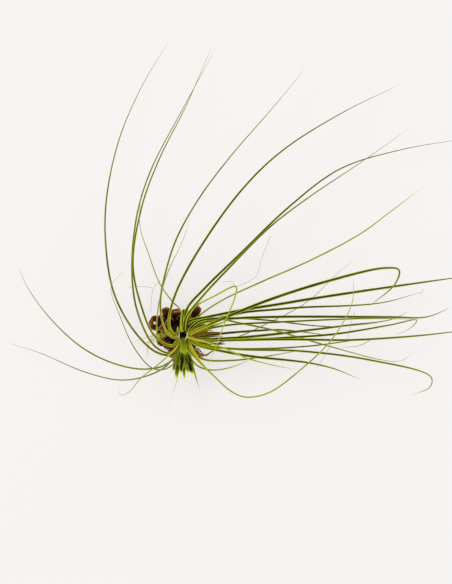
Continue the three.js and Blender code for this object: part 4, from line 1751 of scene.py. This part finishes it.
@dataclass
class OldSkins:
    """Papery strips of old sheaths and leaves round the foot of the plant, in millimetres."""

    # finish, width, and the points of each strip
    strips: tuple[tuple[Slot, float, tuple[Point, ...]], ...] = (
        # the first two dark strips are old sheaths beside leaf_right_18, and they also stand for
        # the painted shade along its edge
        (Slot.RUST, 1.5, ((5, -7, 11), (11, -14, 11), (17, -22, 9))),
        (Slot.RUST, 1.3, ((7, -7, 9), (14, -14, 9), (21, -24, 5))),
        (Slot.RUST, 1.8, ((6, 5, 9), (16, 8, 9), (22, 11, 8))),
        (Slot.RUST, 2.4, ((7, 0, 18), (20, 1.6, 20), (36, 1.4, 15))),
        (Slot.RUST, 2.4, ((8, 3, 15), (18, 5.8, 16), (30, 5.4, 12))),
        (Slot.RUST, 2.0, ((10, -1.5, 15), (24, -0.6, 16), (40, -0.4, 11))),
        (Slot.STRAW, 2.8, ((8, 0.5, 19), (22, 3, 22), (44, 3.4, 17))),
        (Slot.STRAW, 1.4, ((9, -1, 18), (20, 0.6, 20), (36, 0.8, 17))),
        (Slot.STRAW, 1.2, ((5, 6, 20), (12, 8, 22), (18, 8.4, 20))),
        (Slot.STRAW, 1.5, ((7, -9, 7), (16, -20, 5), (24, -19, 6), (31, -15, 4))),
        (Slot.STRAW, 1.4, ((14, -12, 6), (20, -18, 7), (25, -21, 4))),
        (Slot.STRAW, 1.7, ((-5, -8, 8), (-8, -18, 6), (-12, -26, 3))),
        (Slot.STRAW, 1.5, ((-7, -8, 8), (-8, -16, 7), (-6, -27, 3))),
        (Slot.STRAW, 1.6, ((-3, -6, 20), (-7, -9, 21), (-13, -11, 18))),
        (Slot.STRAW, 1.2, ((-3, -7, 18), (-7, -13, 16), (-11, -20, 12))),
        (Slot.BRIGHT, 3.0, ((7, 2, 21), (24, 8.6, 27), (46, 16, 32))),
        (Slot.BRIGHT, 1.2, ((6, -5, 19), (18, -8, 22), (30, -11, 20))),
        (Slot.BRIGHT, 2.2, ((-5.2, 2, 16), (-5.4, 5.5, 19), (-4.8, 9.5, 21))))
    channel: tuple[float, ...] = (0.3, 0.16, 0.0, 0.08, -0.05)
    # share of the width that is gone at the tip
    taper: float = 0.8
    # how far a strip rolls to and fro, and how many half turns of that it makes
    roll: float = 0.6
    waves: float = 2.5
    dried: float = 3.0
    marks: int = 30

    def build(self) -> list[Made]:
        """Builds the strips.

        Returns:
            One piece for each finish.
        """
        blank = BladeBlank(steps=40, thickness=0.1, channel=self.channel).model()
        strips: dict[Slot, list[Piece]] = {}
        for index, (slot, width, points) in enumerate(self.strips):
            strips.setdefault(slot, []).append(lay_strip(
                blank, f"strip_{index}", points, self.marks,
                lambda share: width * (1 - self.taper * share**2), self.dried,
                lambda share: self.roll * math.sin(self.waves * math.pi * share + index)))
        bpy.data.objects.remove(blank)
        return [Made(join(group, f"old_skins_{slot.name.lower()}"), slot)
                for slot, group in strips.items()]


@dataclass
class Thread:
    """A dried leaf end: the leaf it hangs on, and its points with their height over it."""

    host: str
    route: tuple[Point, ...]


@dataclass
class DriedThreads:
    """Hair-thin grey ends that curl from the leaves, in millimetres."""

    threads: tuple[Thread, ...] = (
        Thread("leaf_back_6", ((-23, 55, 0), (-29, 49, 1), (-32, 33, 0), (-32, 23, -2))),
        Thread("leaf_back_3", ((-31, 48, -0.5), (-38, 49.5, 0.4), (-46, 49.5, 0.6), (-55, 49, -1))),
        Thread("leaf_right_18", ((149, -4, 0), (144, -16, -2), (134, -32, -6))),
        Thread("leaf_right_4", ((172, 24, 1.2), (170, 19, 0.7), (168, 13, 1), (165, -2, 1.5))),
        Thread("leaf_folded", ((53, 49, 0), (49, 54, 1), (39, 54, 1))),
        Thread("leaf_folded", (
            (53, 49.3, 0), (67, 55, 1), (74, 61, 2), (78, 76, 1), (81, 84, 0), (88, 100, -3))),
        Thread("leaf_right_3", ((237, 42, 0), (239, 44, 0.5), (240, 47, 1))))
    width: float = 0.34
    dried: float = 1.0
    marks: int = 40
    host_marks: int = 200

    def build(self) -> list[Made]:
        """Builds the threads.

        Returns:
            The threads, as one piece.
        """
        rod = RodBlank(sides=6, steps=40).model()
        hosts = {leaf.name: smooth_route(leaf.points(), self.host_marks) for leaf in LEAVES}
        blades = []
        for index, thread in enumerate(self.threads):
            x, y, _ = thread.route[0]
            start = min(hosts[thread.host], key=lambda place: (seen(x, y, place.z) - place).length)
            points = [seen(x, y, start.z + rise) for x, y, rise in thread.route]
            blades.append(lay_strip(rod, f"thread_{index}", points, self.marks,
                                    lambda share: self.width, self.dried))
        bpy.data.objects.remove(rod)
        return [Made(join(blades, "dried_threads"), Slot.GREY)]


# Cone


@dataclass
class ConeScale:
    """Where one scale of the cone is: direction in radians, the rest in millimetres."""

    turn: float
    root_height: float
    reach: float
    tip_height: float
    width: float
    # where the scale's knee is, as shares of its reach and of its rise
    knee: Flat = (0.6, 0.42)

    def line(self, centre: Flat, root_reach: float, count: int) -> list[Vector]:
        """Works out the scale's middle line.

        Args:
            centre: The cone's axis.
            root_reach: How far from the axis the scale starts.
            count: How many points the line has.

        Returns:
            The points in metres.
        """
        out = Vector((math.cos(self.turn), math.sin(self.turn)))
        across, up = self.knee
        start, knee, end = (
            Vector((*(Vector(centre) + out * distance), height)) * MM for distance, height in (
                (root_reach, self.root_height),
                (root_reach + across * (self.reach - root_reach),
                 self.root_height + up * (self.tip_height - self.root_height)),
                (self.reach, self.tip_height)))
        return [start * (1 - t) ** 2 + knee * 2 * t * (1 - t) + end * t**2
                for t in even_shares(count)]


@dataclass
class PineCone:
    """The open cone that holds the plant, in millimetres."""

    centre: Flat = (-5, 3)
    root_reach: float = 6.0
    # direction in degrees and reach of the lowest scales, then their root, tip height and width
    foot_scales: tuple[Flat, ...] = ((148, 27), (100, 24), (52, 29), (8, 28), (322, 23), (285, 24),
                                     (254, 25), (207, 20))
    foot_size: Point = (5, 1.8, 11)
    # the scales in a spiral from foot to top: how many, and the direction of the first in radians
    ruled_scales: int = 32
    ruled_start: float = 0.3
    # height of their roots, rise to their tips, reach and width: at the foot, and the change to
    # the top
    ruled_roots: Flat = (5, 27)
    ruled_rise: Flat = (5, 3.5)
    ruled_reach: Flat = (25, -9)
    ruled_width: Flat = (11, -2)
    # how much higher a tip may be than that, and how much further out
    ruled_play: Flat = (1, 1.5)
    # direction in degrees, reach, tip height and width of the scales that spread under the plant
    wide_scales: tuple[Row, ...] = (
        (158, 32, 30, 15), (120.5, 29.5, 32, 9), (96, 22.5, 36, 11), (52, 34, 29, 10),
        (9, 31, 27, 9), (212, 17.5, 45, 7.5), (233, 21, 35, 9), (254, 27, 31, 10),
        (330, 24, 31, 10))
    # how much lower than its tip such a scale's root is
    wide_rise: float = 10.0
    # how many different scales are modelled, and how many points their lines have
    kinds: int = 3
    scale_marks: int = 12
    # radius and height of the core
    core: tuple[Flat, ...] = ((9, 0), (10, 8), (9.5, 22), (8.5, 36), (8.8, 37.9))
    bead_radius: float = 1.4
    # how flat the bead is, how far its foot spreads, and how far it has run down and forward
    bead_height: float = 0.7
    bead_foot: float = 1.08
    bead_run: Point = (0, -0.25, -0.15)

    def places(self) -> list[ConeScale]:
        """Works out where every scale is.

        Returns:
            The low ones first and the spreading ones last.
        """
        root, tip, width = self.foot_size
        scales = [ConeScale(math.radians(turn), root, reach, tip, width)
                  for turn, reach in self.foot_scales]
        draw = Draw(41)
        golden_angle = math.pi * (3 - math.sqrt(5))
        for index, level in enumerate(even_shares(self.ruled_scales)):
            root = at(self.ruled_roots, level)
            tip = root + at(self.ruled_rise, level) + self.ruled_play[0] * draw.next()
            reach = at(self.ruled_reach, level) + self.ruled_play[1] * draw.next()
            turn = index * golden_angle + self.ruled_start
            scales.append(ConeScale(turn, root, reach, tip, at(self.ruled_width, level)))
        for turn, reach, tip, width in self.wide_scales:
            scales.append(ConeScale(math.radians(turn), tip - self.wide_rise, reach, tip, width))
        return scales

    def model_core(self) -> Piece:
        """Shapes a cylinder into the cone's core.

        Returns:
            The core.
        """
        height = self.core[-1][1]
        core = new_primitive(
            bpy.ops.mesh.primitive_cylinder_add, "cone_core", vertices=36, radius=1, depth=1,
            location=(0, 0, 0.5))
        with editing(core):
            cut_across([level / height for _, level in self.core[1:-1]], (0, 0, 1))
            for radius, level in self.core:
                pick(core, lambda place: near(place.z, level / height))
                bpy.ops.transform.resize(value=(radius, radius, 1), center_override=(0, 0, 0))
            bpy.ops.mesh.select_all(action="SELECT")
            bpy.ops.transform.resize(value=(MM, MM, height * MM), center_override=(0, 0, 0))
            bpy.ops.transform.translate(value=(self.centre[0] * MM, self.centre[1] * MM, 0))
        note(core, "along", lambda place: 0.2)
        note(core, "upper", lambda place: 1.0)
        note(core, "across", lambda place: math.sin(9 * math.atan2(place.y, place.x)))
        soften(core, 40)
        return core

    def bead(self) -> Piece:
        """Shapes a drop of resin on the face of a scale.

        Returns:
            The bead.
        """
        low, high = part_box("resin_bead")
        middle = (low + high) / 2
        bead = new_primitive(
            bpy.ops.mesh.primitive_ico_sphere_add, "resin_drop", subdivisions=4,
            radius=self.bead_radius * MM, location=middle)
        with editing(bead):
            bpy.ops.transform.resize(value=(1, 1, self.bead_height), center_override=middle)
            pick(bead, lambda place: place.z < middle.z)
            bpy.ops.transform.resize(
                value=(self.bead_foot, self.bead_foot, 1), center_override=middle)
            pick(bead, lambda place: place.y < middle.y - 0.5 * MM)
            bpy.ops.transform.translate(value=Vector(self.bead_run) * MM)
        soften(bead, 80)
        return bead

    def build(self) -> list[Made]:
        """Builds the cone and its bead.

        Returns:
            The cone and the bead.
        """
        blanks = [ScaleBlank().model(seed) for seed in range(self.kinds)]
        count = self.scale_marks
        scales = [
            bend(blanks[index % len(blanks)], f"scale_{index}",
                 place.line(self.centre, self.root_reach, count), [place.width * MM] * count)
            for index, place in enumerate(self.places())]
        for blank in blanks:
            bpy.data.objects.remove(blank)
        cone = join([self.model_core(), *scales], "cone_scales")
        with editing(cone):
            pick(cone, lambda place: place.z < 0)
            bpy.ops.transform.resize(value=(1, 1, 0), center_override=(0, 0, 0))
        return [Made(cone, Slot.WOOD, ("pine_cone",)),
                Made(self.bead(), Slot.RESIN, ("resin_bead",))]


# Studio


@dataclass(frozen=True)
class Lamp:
    """A soft square light: where it hangs and its side in metres, and its power in watts."""

    name: str
    place: Point
    size: float
    power: float

    def hang(self) -> None:
        """Hangs it so that it faces the plant."""
        lamp = bpy.data.lights.new(self.name, "AREA")
        lamp.size = self.size
        lamp.energy = self.power
        holder = bpy.data.objects.new(self.name, lamp)
        holder.location = self.place
        holder.rotation_euler = (-Vector(self.place)).to_track_quat("-Z", "Y").to_euler()
        bpy.context.scene.collection.objects.link(holder)


@dataclass
class Studio:
    """The pale floor, the soft light and the camera straight above, in metres."""

    camera_place: Point = (0.043, 0.044, 1.674)
    lens: float = 100.0
    sensor: float = 36.0
    floor_size: float = 6.0
    floor_codes: tuple[str, str] = ("f3f1ef", "f1efed")
    # a pale table lit from below as well, which keeps the shadows faint
    floor_reflects: float = 0.35
    floor_glow: float = 0.68
    floor_roughness: float = 0.9
    sky_colour: Row = (1.0, 0.99, 0.98, 1.0)
    sky_light: float = 0.78
    lamps: tuple[Lamp, ...] = (
        Lamp("key", (-0.5, 0.65, 2.3), 0.9, 14.0), Lamp("fill", (1.2, -0.5, 2.0), 1.6, 4.0))

    def floor(self) -> None:
        """Lays the floor."""
        floor = new_primitive(bpy.ops.mesh.primitive_plane_add, "floor", size=self.floor_size)
        material, sketch, shader = new_material("floor")
        clouds = sketch.noise(sketch.place(), 3.0, 2.0)
        paper = sketch.mix(clouds, *(linear(code) for code in self.floor_codes))
        sketch.feed(shader["Base Color"], sketch.mix(1 - self.floor_reflects, paper, BLACK))
        sketch.feed(shader["Emission Color"], paper)
        shader["Emission Strength"].default_value = self.floor_glow
        shader["Roughness"].default_value = self.floor_roughness
        shader["Specular IOR Level"].default_value = 0.0
        floor.data.materials.append(material)

    def sky(self) -> None:
        """Lights the studio evenly from all sides."""
        world = bpy.data.worlds.new("studio")
        world.use_nodes = True
        background = world.node_tree.nodes["Background"].inputs
        background["Color"].default_value = self.sky_colour
        background["Strength"].default_value = self.sky_light
        bpy.context.scene.world = world
        bpy.context.scene.view_settings.view_transform = "Standard"

    def camera(self) -> None:
        """Hangs the camera straight above, where it looks down."""
        camera = bpy.data.cameras.new("camera")
        camera.lens = self.lens
        camera.sensor_width = self.sensor
        holder = bpy.data.objects.new("camera", camera)
        holder.location = self.camera_place
        bpy.context.scene.collection.objects.link(holder)
        bpy.context.scene.camera = holder

    def build(self) -> None:
        """Sets the floor, the lights and the camera."""
        self.floor()
        self.sky()
        for lamp in self.lamps:
            lamp.hang()
        self.camera()


def main() -> None:
    """Builds the studio, the cone and the plant, and reports every piece."""
    logging.basicConfig(level=logging.INFO, format="%(name)s: %(message)s")
    Studio().build()
    finishes = Finishes()
    for assembly in (PineCone(), Crown(), Foliage(), YoungLeaves(), FlowerStalk(), SideShoot(),
                     OldSkins(), DriedThreads()):
        for made in assembly.build():
            finishes.dress(made)
            log.info("%s: %d faces", made.piece.name, len(made.piece.data.polygons))


if __name__ == "__main__":
    main()
